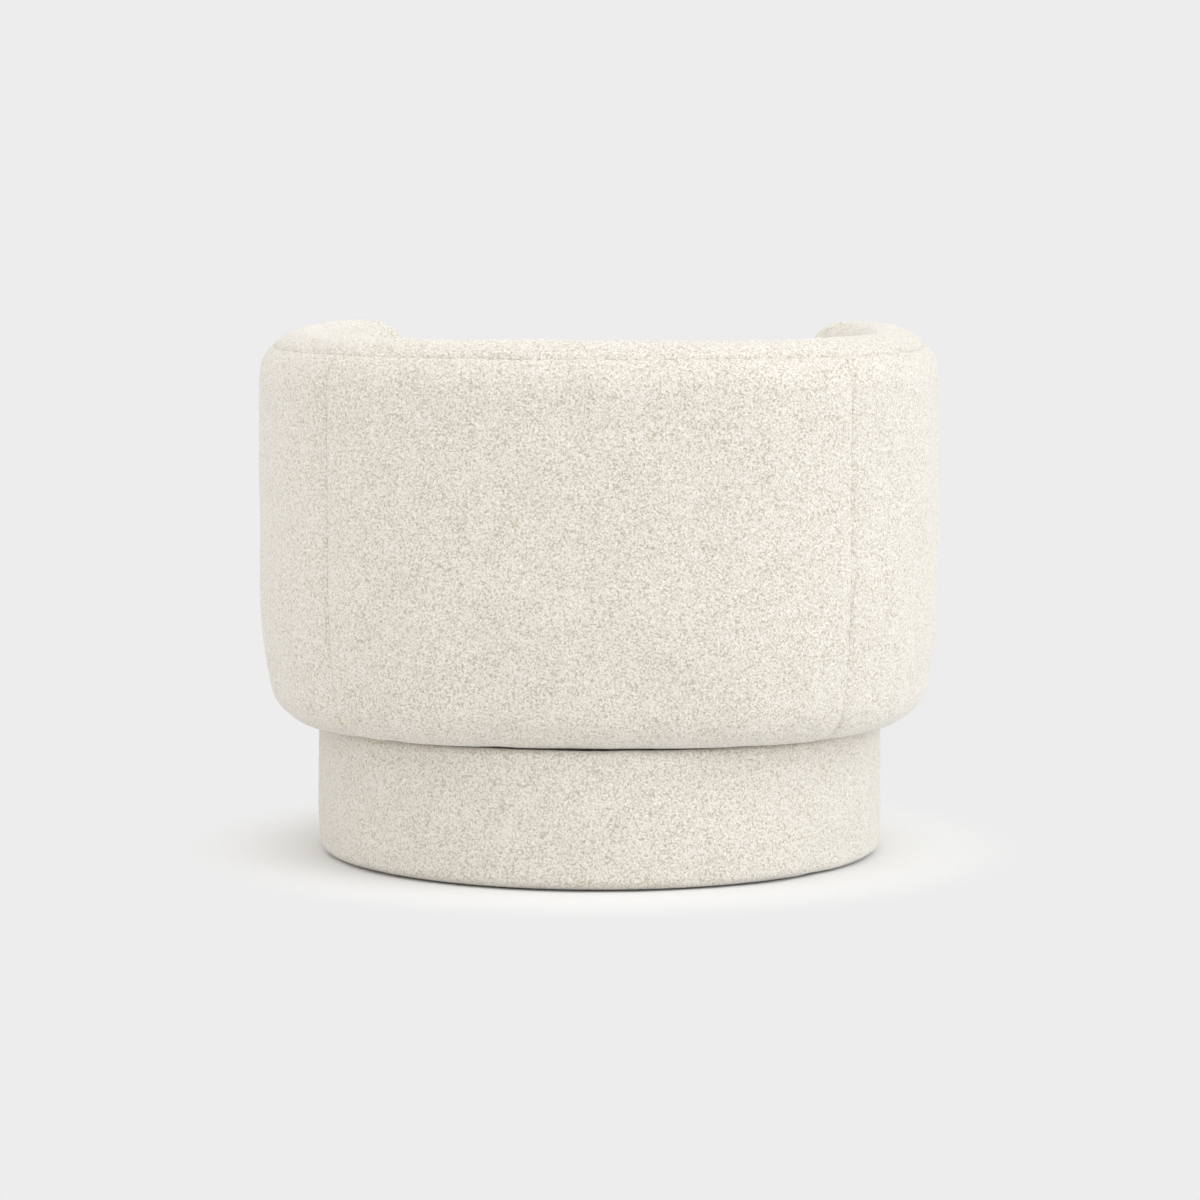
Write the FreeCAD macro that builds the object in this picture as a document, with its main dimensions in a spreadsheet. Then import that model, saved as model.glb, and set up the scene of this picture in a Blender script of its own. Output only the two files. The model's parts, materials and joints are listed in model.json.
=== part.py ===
import FreeCAD, Part
import math
import os
import re

import Sketcher

# A tub chair on a round plinth. The upholstered shell turns on a ball swivel and holds a loose cushion.
# Sizes are millimetres. The chair faces -Y, and the origin lies on the floor under the swivel's axis.

Vector = FreeCAD.Vector
ORIGIN = Vector(0, 0, 0)
UP = Vector(0, 0, 1)
ACROSS = Vector(1, 0, 0)
ALONG = Vector(0, 1, 0)

FULL_TURN = 360
HALF_TURN = 180
QUARTER_TURN = 90
SAME_PLACE = 1e-6

# Directions in a section, whose x axis points inwards
INWARD = 0
UPWARD = 90
OUTWARD = 180
DOWNWARD = 270

doc = FreeCAD.newDocument("TubChair")
os.makedirs("parts", exist_ok=True)

# Driving dimensions
SIZES = {
    # Outline of the tub in plan: three tangent arcs to each quarter
    "tub_width": 860,
    "tub_depth": 800,
    "back_radius": 760,
    "corner_radius": 332,
    "side_radius": 730,
    # Heights
    "plinth_height": 169.5,
    "underside_gap": 4,
    "tub_height": 491.5,
    "deck_height": 147.5,
    "middle_rail_height": 228.5,
    "seat_ring_height": 98.5,
    # Rolls and seams of the tub
    "side_bow_radius": 950,
    "side_bow_rise": 196.5,
    "bottom_roll": 56,
    "deck_edge_roll": 12,
    "arm_end_angle": 124.5,
    "side_seam_angle": 43,
    "top_seam_angle": 45,
    "seam_gap": 0.4,
    # Layers of the wall, each with its clearance to the next
    "cover_layer": 3,
    "outside_foam_layer": 21,
    "skin_layer": 4,
    "frame_depth": 50,
    "lining_layer": 4,
    "inside_foam_layer": 33,
    "layer_gap": 0.3,
    # Tub frame
    "board": 18,
    "base_board_inset": 80,
    "lower_rail_width": 82,
    "lower_rail_chamfer": 8,
    "skin_lap": 10,
    "top_rail_rise": 6,
    "stud_width": 30,
    "stud_count": 9,
    "stud_span_angle": 100,
    "front_stud_count": 5,
    "front_stud_span_angle": 38,
    "arm_post_width": 40,
    "seat_ring_width": 40,
    "seat_ring_board": 24,
    "flap_width": 35,
    "dust_cloth": 0.7,
    "frame_screw_radius": 2.5,
    "frame_screw_head_radius": 5,
    "frame_screw_head": 3,
    "frame_screw_length": 32,
    "frame_screw_inset": 95,
    "frame_screw_count": 5,
    "frame_screw_first_angle": 20,
    # Seat deck
    "spring_wire_radius": 1.9,
    "spring_bend_radius": 12,
    "spring_half_width": 26,
    "spring_pitch": 95,
    "springs_each_side": 2,
    "spring_end_run": 24,
    "clip_width": 16,
    "clip_length": 20,
    "clip_height": 6,
    "tie_wire_radius": 0.8,
    "tie_spread": 200,
    "hessian": 1.5,
    # Loose seat cushion
    "cushion_side_gap": 2,
    "cushion_front_inset": 6,
    "cushion_wing_radius": 25,
    "cushion_height": 104,
    "cushion_crown": 14,
    "cushion_edge": 16,
    "cushion_cover": 2.5,
    "zip_width": 24,
    "zip_length": 360,
    "zip_depth": 1.2,
    # Plinth
    "plinth_radius": 359,
    "plinth_padding": 10,
    "plinth_skin": 4,
    "plinth_top_edge": 7,
    "plinth_foot_edge": 12,
    "plinth_ring_width": 92,
    "plinth_top_return": 60,
    "plinth_foot_return": 36,
    "rib_count": 8,
    "reinforcement_margin": 4,
    "glide_count": 8,
    "glide_radius": 14,
    "glide_height": 4.7,
    "glide_inset": 63,
    "glide_stem_radius": 3,
    "glide_stem": 14,
    # Swivel
    "race_radius": 130,
    "race_inner_width": 24,
    "race_screw_offset": 24,
    "race_screw_margin": 12,
    "race_plate": 3,
    "ball_radius": 3.5,
    "ball_count": 24,
    "ball_clearance": 0.06,
    "cage_half_width": 11,
    "cage_plate": 1.2,
    "race_screw_count": 8,
    "race_screw_radius": 2.5,
    "race_screw_head_radius": 4.5,
    "race_screw_head": 1.5,
    "race_screw_length": 15,
    "pivot_radius": 6,
    "pivot_clearance": 0.08,
    "pivot_head_radius": 16,
    "pivot_head": 5,
    "bush_wall": 3,
    "bush_flange": 2,
    "bush_flange_radius": 15,
    "washer_radius": 15,
    "washer": 2.5,
    "nut_radius": 10.5,
    "nut": 11,
    "bolt_tail": 5,
    "hole_clearance": 0.1,
}

sheet = doc.addObject("Spreadsheet::Sheet", "Sizes")
for row, (alias, number) in enumerate(SIZES.items(), start=1):
    sheet.set("A%d" % row, alias.replace("_", " "))
    sheet.set("B%d" % row, str(number))
    sheet.setAlias("B%d" % row, alias)
doc.recompute()


def rule(text):
    """A sum of sizes as the sheet's own expression."""
    return re.sub(r"[a-z_]+", lambda word: "Sizes." + word.group(0), text)


def value(text):
    """The number that a sum of sizes comes to."""
    return float(sheet.evalExpression(rule(text)))


# Levels above the floor
BOARD_TOP = "plinth_height - cover_layer"
UNDERSIDE = "plinth_height + underside_gap"
BASE_LOW = UNDERSIDE + " + cover_layer"
LOWER_RAIL_LOW = BASE_LOW + " + board"
STUD_LOW = LOWER_RAIL_LOW + " + board"
MIDDLE_RAIL_LOW = UNDERSIDE + " + middle_rail_height"
DECK = UNDERSIDE + " + deck_height"
DECK_COVER_TOP = DECK + " + cover_layer"
TOP = UNDERSIDE + " + tub_height"
WALL = ("2 * cover_layer + outside_foam_layer + skin_layer + frame_depth"
        " + lining_layer + inside_foam_layer")
ROLL = "(" + WALL + ") / 2"
ROLL_LEVEL = TOP + " - " + ROLL
TOP_RAIL_HIGH = ROLL_LEVEL + " + top_rail_rise"
TOP_RAIL_LOW = TOP_RAIL_HIGH + " - board"
FRONT_RAIL_HIGH = DECK + " - cover_layer - skin_layer"
FRONT_RAIL_LOW = FRONT_RAIL_HIGH + " - board"
RING_LOW = UNDERSIDE + " + seat_ring_height"
RING_HIGH = RING_LOW + " + seat_ring_board"
HESSIAN_LOW = RING_HIGH + " + clip_height + layer_gap"
DECK_FOAM_LOW = HESSIAN_LOW + " + hessian + layer_gap"
CUSHION_LOW = DECK_COVER_TOP + " + layer_gap"

# Distances from the swivel's axis
GLIDE_PITCH = "plinth_radius - glide_inset"
RACE_INNER = "race_radius - race_inner_width"
RACE_SCREW_PITCH = "race_radius + race_screw_offset"
RACE_OUTER = RACE_SCREW_PITCH + " + race_screw_margin"

# Distances inwards from the tub's outline
FOAM_OUT = "cover_layer"
SKIN_OUT = FOAM_OUT + " + outside_foam_layer"
FRAME_OUT = SKIN_OUT + " + skin_layer"
FRAME_IN = FRAME_OUT + " + frame_depth"
LINING_IN = FRAME_IN + " + lining_layer"
FOAM_IN = LINING_IN + " + inside_foam_layer"

gap = value("layer_gap")
cover = value("cover_layer - layer_gap")
wall = value(WALL)
roll = value(ROLL)
roll_level = value(ROLL_LEVEL)
underside = value(UNDERSIDE)
deck = value(DECK)
bottom_roll = value("bottom_roll")
arm_end = value("arm_end_angle")


# Plan outline of the tub

def outline_arcs():
    """Arcs of the right half, from the middle of the back to the middle of the front.

    Each is its centre, radius and the two angles of its outward normal, taken from +Y towards +X.
    """
    half_width = value("tub_width / 2")
    half_depth = value("tub_depth / 2")
    back = value("back_radius")
    corner = value("corner_radius")
    side = value("side_radius")
    back_centre = Vector(0, half_depth - back, 0)
    side_centre = Vector(half_width - side, 0, 0)
    to_back = back - corner
    to_side = side - corner
    between = side_centre - back_centre
    span = between.Length
    along = (to_back ** 2 - to_side ** 2 + span ** 2) / (2 * span)
    aside = math.sqrt(to_back ** 2 - along ** 2)
    forward = between / span
    across = Vector(-forward.y, forward.x, 0)
    centre = back_centre + forward * along + across * aside
    if centre.x < 0:
        centre = back_centre + forward * along - across * aside
    first = math.degrees(math.atan2(centre.x - back_centre.x, centre.y - back_centre.y))
    second = math.degrees(math.atan2(centre.x - side_centre.x, centre.y - side_centre.y))
    front_centre = Vector(0, back - half_depth, 0)
    front_corner = Vector(centre.x, -centre.y, 0)
    return [
        (back_centre, back, 0.0, first),
        (centre, corner, first, second),
        (side_centre, side, second, HALF_TURN - second),
        (front_corner, corner, HALF_TURN - second, HALF_TURN - first),
        (front_centre, back, HALF_TURN - first, HALF_TURN),
    ]


ARCS = outline_arcs()


def normal(angle):
    """Outward normal of the outline at an angle from +Y towards +X."""
    return Vector(math.sin(math.radians(angle)), math.cos(math.radians(angle)), 0)


def outline_point(angle, inset):
    """Point of the outline moved inwards, where its outward normal has this angle."""
    for centre, radius, first, last in ARCS:
        if first <= angle <= last:
            return centre + normal(angle) * (radius - inset)
    raise ValueError("no outline at this angle")


def outline_radius(angle):
    """Radius of the arc that the outline follows at an angle."""
    for centre, radius, first, last in ARCS:
        if first <= angle <= last:
            return radius
    raise ValueError("no outline at this angle")


def arc_edge(centre, radius, first, last):
    """Arc whose normals go from one angle to another."""
    ends = [centre + normal(angle) * radius for angle in (first, (first + last) / 2, last)]
    return Part.Arc(*ends).toShape()


def mirrored(shape):
    """The same shape on the other side of the chair's middle plane."""
    return shape.mirror(ORIGIN, ACROSS)


def outline_wire(inset):
    """Whole outline of the tub, moved inwards."""
    right = [arc_edge(centre, radius - inset, first, last) for centre, radius, first, last in ARCS]
    left = [mirrored(edge) for edge in right]
    return Part.Wire(Part.__sortEdges__(right + left))


def slab(wire, low, high):
    """Board cut to an outline, between two levels."""
    face = Part.Face(wire)
    face.translate(Vector(0, 0, low))
    return face.extrude(Vector(0, 0, high - low))


# Sections, drawn with the distance inwards from the outline as x and the height as y

def corner_arc(centre, radius, first, last):
    """Arc of a section between two angles from its x axis."""
    def at(angle):
        turn = math.radians(angle)
        return Vector(centre[0] + radius * math.cos(turn), centre[1] + radius * math.sin(turn), 0)
    return Part.Arc(at(first), at((first + last) / 2), at(last)).toShape()


def section(steps):
    """Closed section of points, (x, y), and arcs, (centre, radius, first, last), in order."""
    edges = []
    here = None
    start = None
    for step in steps:
        if len(step) == 4:
            edge = corner_arc(*step)
            begin = edge.valueAt(edge.FirstParameter)
            finish = edge.valueAt(edge.LastParameter)
        else:
            edge = None
            begin = Vector(step[0], step[1], 0)
            finish = begin
        if here is None:
            start = begin
        elif (begin - here).Length > SAME_PLACE:
            edges.append(Part.LineSegment(here, begin).toShape())
        if edge is not None:
            edges.append(edge)
        here = finish
    if (start - here).Length > SAME_PLACE:
        edges.append(Part.LineSegment(here, start).toShape())
    return Part.Face(Part.Wire(edges))


def box_section(outer, inner, low, high):
    """Rectangular section between two insets and two levels."""
    return section([(outer, low), (inner, low), (inner, high), (outer, high)])


def one_solid(pieces):
    """Pieces that meet face to face, joined."""
    joined = pieces[0]
    if len(pieces) > 1:
        joined = pieces[0].multiFuse(pieces[1:]).removeSplitter()
    solids = joined.Solids
    if len(solids) != 1:
        raise ValueError("expected one solid, got %d" % len(solids))
    return solids[0]


def upright(face, radius):
    """A section stood up, with its inset turned into a distance from an arc's axis."""
    stood = face.copy()
    stood.transformShape(FreeCAD.Matrix(-1, 0, 0, radius, 0, 0, -1, 0, 0, 1, 0, 0, 0, 0, 0, 1))
    return stood


def half_sweep(face, first, last):
    """A section carried round the right half of the outline, from one angle to another."""
    pieces = []
    for centre, radius, low, high in ARCS:
        begin = max(first, low)
        finish = min(last, high)
        if finish - begin < SAME_PLACE:
            continue
        stood = upright(face, radius)
        stood.rotate(ORIGIN, UP, QUARTER_TURN - finish)
        piece = stood.revolve(ORIGIN, UP, finish - begin)
        piece.translate(centre)
        pieces.append(piece)
    return pieces


def sweep(face, first, last):
    """One solid of a section on the right half, between two angles."""
    return one_solid(half_sweep(face, first, last))


def sweep_back(face, last):
    """One solid of a section round the back, as far as an angle on each side."""
    right = half_sweep(face, 0, last)
    return one_solid(right + [mirrored(piece) for piece in right])


def sweep_front(face, first):
    """One solid of a section round the front, from an angle on each side."""
    right = half_sweep(face, first, HALF_TURN)
    return one_solid(right + [mirrored(piece) for piece in right])


def sweep_round(face):
    """One solid of a section all the way round."""
    right = half_sweep(face, 0, HALF_TURN)
    return one_solid(right + [mirrored(piece) for piece in right])


# Objects of the document

nodes = []


def record_node(item):
    """Keep an object as one named piece of the chair."""
    nodes.append(item)
    return item


def feature(label, shape):
    """A piece whose shape follows the curved outline."""
    item = doc.addObject("Part::Feature", label)
    item.Label = label
    item.Shape = shape
    item.Placement = shape.Placement
    return record_node(item)


def add_body(label, low):
    """A body that stands at a level."""
    body = doc.addObject("PartDesign::Body", label)
    body.Label = label
    body.AllowCompound = True
    body.setExpression("Placement.Base.z", rule(low))
    return record_node(body)


def origin_part(body, role):
    """One of a body's own origin planes or axes."""
    for item in body.Origin.OriginFeatures:
        if item.Role == role:
            return item
    raise ValueError(role)


def add_sketch(body, role):
    """An empty sketch on one of a body's origin planes."""
    sketch = body.newObject("Sketcher::SketchObject", body.Label + "_sketch")
    sketch.AttachmentSupport = [(origin_part(body, role), "")]
    sketch.MapMode = "FlatFace"
    return sketch


def add_circle(sketch, name, radius, pitch="0"):
    """A circle on the sketch's x axis, with its radius and its place bound to the sheet."""
    along = value(pitch)
    across = value(radius)
    index = sketch.addGeometry(Part.Circle(Vector(along, 0, 0), UP, across), False)
    if pitch == "0":
        sketch.addConstraint(Sketcher.Constraint("Coincident", index, 3, -1, 1))
    else:
        sketch.addConstraint(Sketcher.Constraint("PointOnObject", index, 3, -1))
        place = sketch.addConstraint(Sketcher.Constraint("DistanceX", -1, 1, index, 3, along))
        sketch.renameConstraint(place, name + "_pitch")
        sketch.setExpression("Constraints." + name + "_pitch", rule(pitch))
    size = sketch.addConstraint(Sketcher.Constraint("Radius", index, across))
    sketch.renameConstraint(size, name)
    sketch.setExpression("Constraints." + name, rule(radius))


def pad(body, sketch, height):
    """The sketch drawn up to a height."""
    item = body.newObject("PartDesign::Pad", body.Label + "_pad")
    item.Profile = sketch
    item.setExpression("Length", rule(height))
    body.Tip = item
    return item


def round_plate(label, low, height, outer, inner=None):
    """A round board, plate, tube or ring."""
    body = add_body(label, low)
    sketch = add_sketch(body, "XY_Plane")
    add_circle(sketch, "outer", outer)
    if inner is not None:
        add_circle(sketch, "inner", inner)
    pad(body, sketch, height)
    return body


def drill(body, radius, pitch="0", count=None):
    """A hole right through a body, or a circle of them."""
    sketch = add_sketch(body, "XY_Plane")
    add_circle(sketch, "bore", radius, pitch)
    pocket = body.newObject("PartDesign::Pocket", body.Label + "_hole")
    pocket.Profile = sketch
    pocket.Type = "ThroughAll"
    pocket.Reversed = True
    body.Tip = pocket
    if count is not None:
        repeat(body, pocket, count)
    return body


def repeat(body, item, count):
    """A feature repeated evenly about the swivel's axis."""
    pattern = body.newObject("PartDesign::PolarPattern", body.Label + "_pattern")
    pattern.Originals = [item]
    pattern.Axis = (origin_part(body, "Z_Axis"), [""])
    pattern.Angle = FULL_TURN
    pattern.setExpression("Occurrences", rule(count))
    body.Tip = pattern
    return pattern


def groove_ring(body, radius, pitch, level):
    """A round groove turned about the swivel's axis."""
    sketch = add_sketch(body, "XZ_Plane")
    along = value(pitch)
    height = value(level)
    across = value(radius)
    index = sketch.addGeometry(Part.Circle(Vector(along, height, 0), UP, across), False)
    bindings = (
        ("groove_pitch", Sketcher.Constraint("DistanceX", -1, 1, index, 3, along), pitch),
        ("groove_level", Sketcher.Constraint("DistanceY", -1, 1, index, 3, height), level),
        ("groove_radius", Sketcher.Constraint("Radius", index, across), radius),
    )
    for name, constraint, text in bindings:
        number = sketch.addConstraint(constraint)
        sketch.renameConstraint(number, name)
        sketch.setExpression("Constraints." + name, rule(text))
    groove = body.newObject("PartDesign::Groove", body.Label + "_groove")
    groove.Profile = sketch
    groove.ReferenceAxis = (sketch, ["V_Axis"])
    groove.Angle = FULL_TURN
    body.Tip = groove


def turned(label, low, corners, pitch="0", count=None):
    """A piece turned about its own upright axis, from corners given as radius and height."""
    body = add_body(label, low)
    sketch = add_sketch(body, "XZ_Plane")
    shift = value(pitch)
    points = [Vector(shift + value(radius), value(height), 0) for radius, height in corners]
    for first, second in zip(points, points[1:] + points[:1]):
        sketch.addGeometry(Part.LineSegment(first, second), False)
    axis_low = Vector(shift, 0, 0)
    sketch.addGeometry(Part.LineSegment(axis_low, axis_low + Vector(0, 1, 0)), True)
    turning = body.newObject("PartDesign::Revolution", body.Label + "_turning")
    turning.Profile = sketch
    turning.ReferenceAxis = (sketch, ["Axis0"])
    turning.Angle = FULL_TURN
    body.Tip = turning
    if count is not None:
        repeat(body, turning, count)
    return body


def screw_corners(radius, length, head_radius, head):
    """Corners of a screw whose head stands above its shank."""
    return [("0", "0"), (radius, "0"), (radius, length), (head_radius, length),
            (head_radius, length + " + " + head), ("0", length + " + " + head)]


# Plinth

def make_plinth():
    """The round plinth: its frame, skin, padding, cover and glides."""
    skin_radius = "plinth_radius - cover_layer - plinth_padding"
    frame_radius = skin_radius + " - plinth_skin"
    ring_low = "glide_height + layer_gap"
    ring_inner = "plinth_radius - cover_layer - plinth_padding - plinth_skin - plinth_ring_width"
    top_low = BOARD_TOP + " - board"
    rib_low = ring_low + " + board"

    bottom = round_plate("plinth_bottom_ring", ring_low, "board", frame_radius, ring_inner)
    drill(bottom, "glide_stem_radius + hole_clearance", GLIDE_PITCH, "glide_count")

    ribs = add_body("plinth_ribs", rib_low)
    sketch = add_sketch(ribs, "XY_Plane")
    inner = value(ring_inner)
    outer = value(frame_radius + " - layer_gap")
    half = value("board / 2")
    turn = math.radians(HALF_TURN / value("rib_count"))
    chord = math.sqrt(outer ** 2 - half ** 2)
    cosine, sine = math.cos(turn), math.sin(turn)
    spun = [Vector(x * cosine - y * sine, x * sine + y * cosine, 0)
            for x, y in ((inner, -half), (chord, -half), (chord, half), (inner, half))]
    for first, second in zip(spun, spun[1:] + spun[:1]):
        sketch.addGeometry(Part.LineSegment(first, second), False)
    rib = pad(ribs, sketch, top_low + " - (" + rib_low + ")")
    repeat(ribs, rib, "rib_count")

    top = round_plate("plinth_top_board", top_low, "board", frame_radius)
    drill(top, "pivot_radius + pivot_clearance + bush_wall + hole_clearance")
    drill(top, "race_screw_radius + hole_clearance", RACE_SCREW_PITCH, "race_screw_count")

    under = round_plate("plinth_reinforcement", top_low + " - board", "board",
                        RACE_OUTER + " + reinforcement_margin")
    drill(under, "pivot_radius + pivot_clearance + bush_wall + hole_clearance")

    round_plate("plinth_skin", ring_low, BOARD_TOP + " - (" + ring_low + ")",
                skin_radius + " - layer_gap", frame_radius + " + layer_gap")
    make_plinth_padding(value(skin_radius), value(ring_low))
    make_plinth_cover()

    cloth = round_plate("plinth_dust_cloth", ring_low + " - dust_cloth", "dust_cloth",
                        "plinth_radius - plinth_foot_return - layer_gap")
    drill(cloth, "glide_radius + 1", GLIDE_PITCH, "glide_count")

    turned("glides", "0", [
        ("0", "0"), ("glide_radius - 2", "0"), ("glide_radius", "2"), ("glide_radius", "glide_height"),
        ("glide_stem_radius", "glide_height"), ("glide_stem_radius", "glide_height + glide_stem"),
        ("0", "glide_height + glide_stem"),
    ], GLIDE_PITCH, "glide_count")


def round_feature(label, steps):
    """A section turned about the swivel's axis, with the radius as x."""
    face = section(steps)
    face.rotate(ORIGIN, ACROSS, QUARTER_TURN)
    return feature(label, face.revolve(ORIGIN, UP, FULL_TURN))


def make_plinth_padding(inner, low):
    """Foam round the plinth's skin, with its edges rolled as the cover's are."""
    outer = value("plinth_radius - cover_layer")
    top = value(BOARD_TOP)
    edge = value("plinth_top_edge - cover_layer")
    foot = value("plinth_foot_edge - cover_layer")
    round_feature("plinth_padding", [
        (inner, low), ((outer - foot, low + foot), foot, -QUARTER_TURN, 0),
        ((outer - edge, top - edge), edge, 0, QUARTER_TURN), (inner, top)])


def make_plinth_cover():
    """The plinth's cover, turned over the top board and under the bottom ring."""
    outer = value("plinth_radius")
    top = value("plinth_height")
    top_edge = value("plinth_top_edge")
    low = value("glide_height + layer_gap") - cover
    foot_inner = outer - value("plinth_foot_return")
    top_inner = outer - value("plinth_top_return")
    foot = value("plinth_foot_edge")
    foot_centre = (outer - foot, low + foot)
    round_feature("plinth_cover", [
        (foot_inner, low),
        (foot_centre, foot, -QUARTER_TURN, 0),
        ((outer - top_edge, top - top_edge), top_edge, 0, QUARTER_TURN),
        (top_inner, top),
        (top_inner, top - cover),
        ((outer - top_edge, top - top_edge), top_edge - cover, QUARTER_TURN, 0),
        (foot_centre, foot - cover, 0, -QUARTER_TURN),
        (foot_inner, low + cover),
    ])


# Swivel

def make_swivel():
    """Two race rings with caged balls between them, and the centre bolt that holds the tub down."""
    ball_level = "(" + BOARD_TOP + " + " + BASE_LOW + ") / 2"
    upper_low = BASE_LOW + " - race_plate"
    groove = "ball_radius + ball_clearance"

    lower = round_plate("swivel_lower_ring", BOARD_TOP, "race_plate", RACE_OUTER, RACE_INNER)
    groove_ring(lower, groove, "race_radius", ball_level + " - (" + BOARD_TOP + ")")
    drill(lower, "race_screw_radius + hole_clearance", RACE_SCREW_PITCH, "race_screw_count")

    upper = round_plate("swivel_upper_ring", upper_low, "race_plate", RACE_OUTER, RACE_INNER)
    groove_ring(upper, groove, "race_radius", ball_level + " - (" + upper_low + ")")
    drill(upper, "race_screw_radius + hole_clearance", RACE_SCREW_PITCH, "race_screw_count")

    cage = round_plate("swivel_cage", ball_level + " - cage_plate / 2", "cage_plate",
                       "race_radius + cage_half_width", "race_radius - cage_half_width")
    drill(cage, groove, "race_radius", "ball_count")

    ball = Part.makeSphere(value("ball_radius"), Vector(value("race_radius"), 0, value(ball_level)))
    balls = []
    for number in range(int(value("ball_count"))):
        turned_ball = ball.copy()
        turned_ball.rotate(ORIGIN, UP, number * FULL_TURN / value("ball_count"))
        balls.append(turned_ball)
    feature("swivel_balls", Part.makeCompound(balls))

    shank = "race_screw_length"
    turned("swivel_lower_screws", BOARD_TOP + " + race_plate - race_screw_length",
           screw_corners("race_screw_radius", shank, "race_screw_head_radius", "race_screw_head"),
           RACE_SCREW_PITCH, "race_screw_count")
    head = "race_screw_head"
    turned("swivel_upper_screws", upper_low + " - race_screw_head", [
        ("0", "0"), ("race_screw_head_radius", "0"), ("race_screw_head_radius", head),
        ("race_screw_radius", head), ("race_screw_radius", head + " + " + shank), ("0", head + " + " + shank),
    ], RACE_SCREW_PITCH, "race_screw_count")

    bush_low = BOARD_TOP + " - 2 * board"
    bore = "pivot_radius + pivot_clearance"
    bush_outer = bore + " + bush_wall"
    flange_low = "2 * board + layer_gap"
    flange_high = flange_low + " + bush_flange"
    turned("pivot_bush", bush_low, [
        (bore, "0"), (bush_outer, "0"), (bush_outer, flange_low),
        ("bush_flange_radius", flange_low), ("bush_flange_radius", flange_high), (bore, flange_high),
    ])
    washer_low = bush_low + " - layer_gap - washer"
    nut_low = washer_low + " - nut"
    round_plate("pivot_washer", washer_low, "washer", "washer_radius", "pivot_radius + hole_clearance")
    nut = add_body("pivot_nut", nut_low)
    sketch = add_sketch(nut, "XY_Plane")
    flat_count = 6
    corners = [Vector(value("nut_radius"), 0, 0)]
    for number in range(1, flat_count):
        turn = 2 * math.pi * number / flat_count
        corners.append(Vector(value("nut_radius") * math.cos(turn), value("nut_radius") * math.sin(turn), 0))
    for first, second in zip(corners, corners[1:] + corners[:1]):
        sketch.addGeometry(Part.LineSegment(first, second), False)
    add_circle(sketch, "thread", "pivot_radius + hole_clearance")
    pad(nut, sketch, "nut")

    bolt_low = nut_low + " - bolt_tail"
    reach = LOWER_RAIL_LOW + " - (" + bolt_low + ")"
    turned("pivot_bolt", bolt_low, [
        ("0", "0"), ("pivot_radius", "0"), ("pivot_radius", reach), ("pivot_head_radius", reach),
        ("pivot_head_radius", reach + " + pivot_head / 2"), ("pivot_head_radius / 2", reach + " + pivot_head"),
        ("0", reach + " + pivot_head"),
    ])


# Tub frame

def evenly(middle, span, count):
    """Angles spaced evenly to both sides of a middle one."""
    steps = int(value(count)) - 1
    reach = value(span)
    return [middle - reach + 2 * reach * number / steps for number in range(steps + 1)]


def stud(angle, low, high):
    """An upright between two levels, curved to the outline, at an angle on either side."""
    side = abs(angle) if abs(angle) <= HALF_TURN else FULL_TURN - abs(angle)
    half = math.degrees(value("stud_width / 2") / outline_radius(side))
    face = box_section(value(FRAME_OUT + " + layer_gap"), value(FRAME_IN + " - layer_gap"), low, high)
    if side < half:
        return sweep_back(face, half)
    if side > HALF_TURN - half:
        return sweep_front(face, HALF_TURN - half)
    upright_piece = sweep(face, side - half, side + half)
    on_left = angle < 0 or angle > HALF_TURN
    return mirrored(upright_piece) if on_left else upright_piece


def studs(label, angles, low, high):
    """A row of uprights as separate solids of one node."""
    feature(label, Part.makeCompound([stud(angle, value(low), value(high)) for angle in angles]))


def make_frame():
    """Base board, rails, uprights, bendable skins and the seat's ring rail."""
    make_base_board()
    make_lower_rail()
    frame_out = value(FRAME_OUT + " + layer_gap")
    frame_in = value(FRAME_IN + " - layer_gap")
    post_turn = math.degrees(value("arm_post_width") / value("corner_radius"))
    rail_end = arm_end - post_turn

    back_studs = evenly(0, "stud_span_angle", "stud_count")
    studs("lower_studs", back_studs, STUD_LOW, MIDDLE_RAIL_LOW)
    middle = box_section(frame_out, frame_in, value(MIDDLE_RAIL_LOW), value(MIDDLE_RAIL_LOW + " + board"))
    feature("middle_rail", sweep_back(middle, rail_end))
    studs("upper_studs", back_studs, MIDDLE_RAIL_LOW + " + board", TOP_RAIL_LOW)
    top = box_section(frame_out, frame_in, value(TOP_RAIL_LOW), value(TOP_RAIL_HIGH))
    feature("top_rail", sweep_back(top, rail_end))

    post = box_section(frame_out, frame_in, value(STUD_LOW), value(TOP_RAIL_HIGH))
    right_post = sweep(post, rail_end, arm_end)
    feature("arm_front_posts", Part.makeCompound([right_post, mirrored(right_post)]))

    front_studs = evenly(HALF_TURN, "front_stud_span_angle", "front_stud_count")
    studs("front_studs", front_studs, STUD_LOW, FRONT_RAIL_LOW)
    front = box_section(frame_out, frame_in, value(FRONT_RAIL_LOW), value(FRONT_RAIL_HIGH))
    feature("front_top_rail", sweep_front(front, arm_end))

    skin_out = value(SKIN_OUT)
    skin_in = value(FRAME_OUT + " - layer_gap")
    skin_low = value(STUD_LOW + " - skin_lap")
    skin = box_section(skin_out, skin_in, skin_low, value(TOP_RAIL_HIGH))
    feature("outer_skin", sweep_back(skin, arm_end))
    front_skin = box_section(skin_out, skin_in, skin_low, value(FRONT_RAIL_HIGH))
    feature("front_skin", sweep_front(front_skin, arm_end))
    lining = box_section(value(FRAME_IN), value(LINING_IN + " - layer_gap"), deck + gap, value(TOP_RAIL_HIGH))
    feature("inner_lining", sweep_back(lining, arm_end))

    ring = box_section(value(FRAME_IN + " + layer_gap"), value(FRAME_IN + " + seat_ring_width"),
                       value(RING_LOW), value(RING_HIGH))
    feature("seat_ring_rail", sweep_round(ring))


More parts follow.
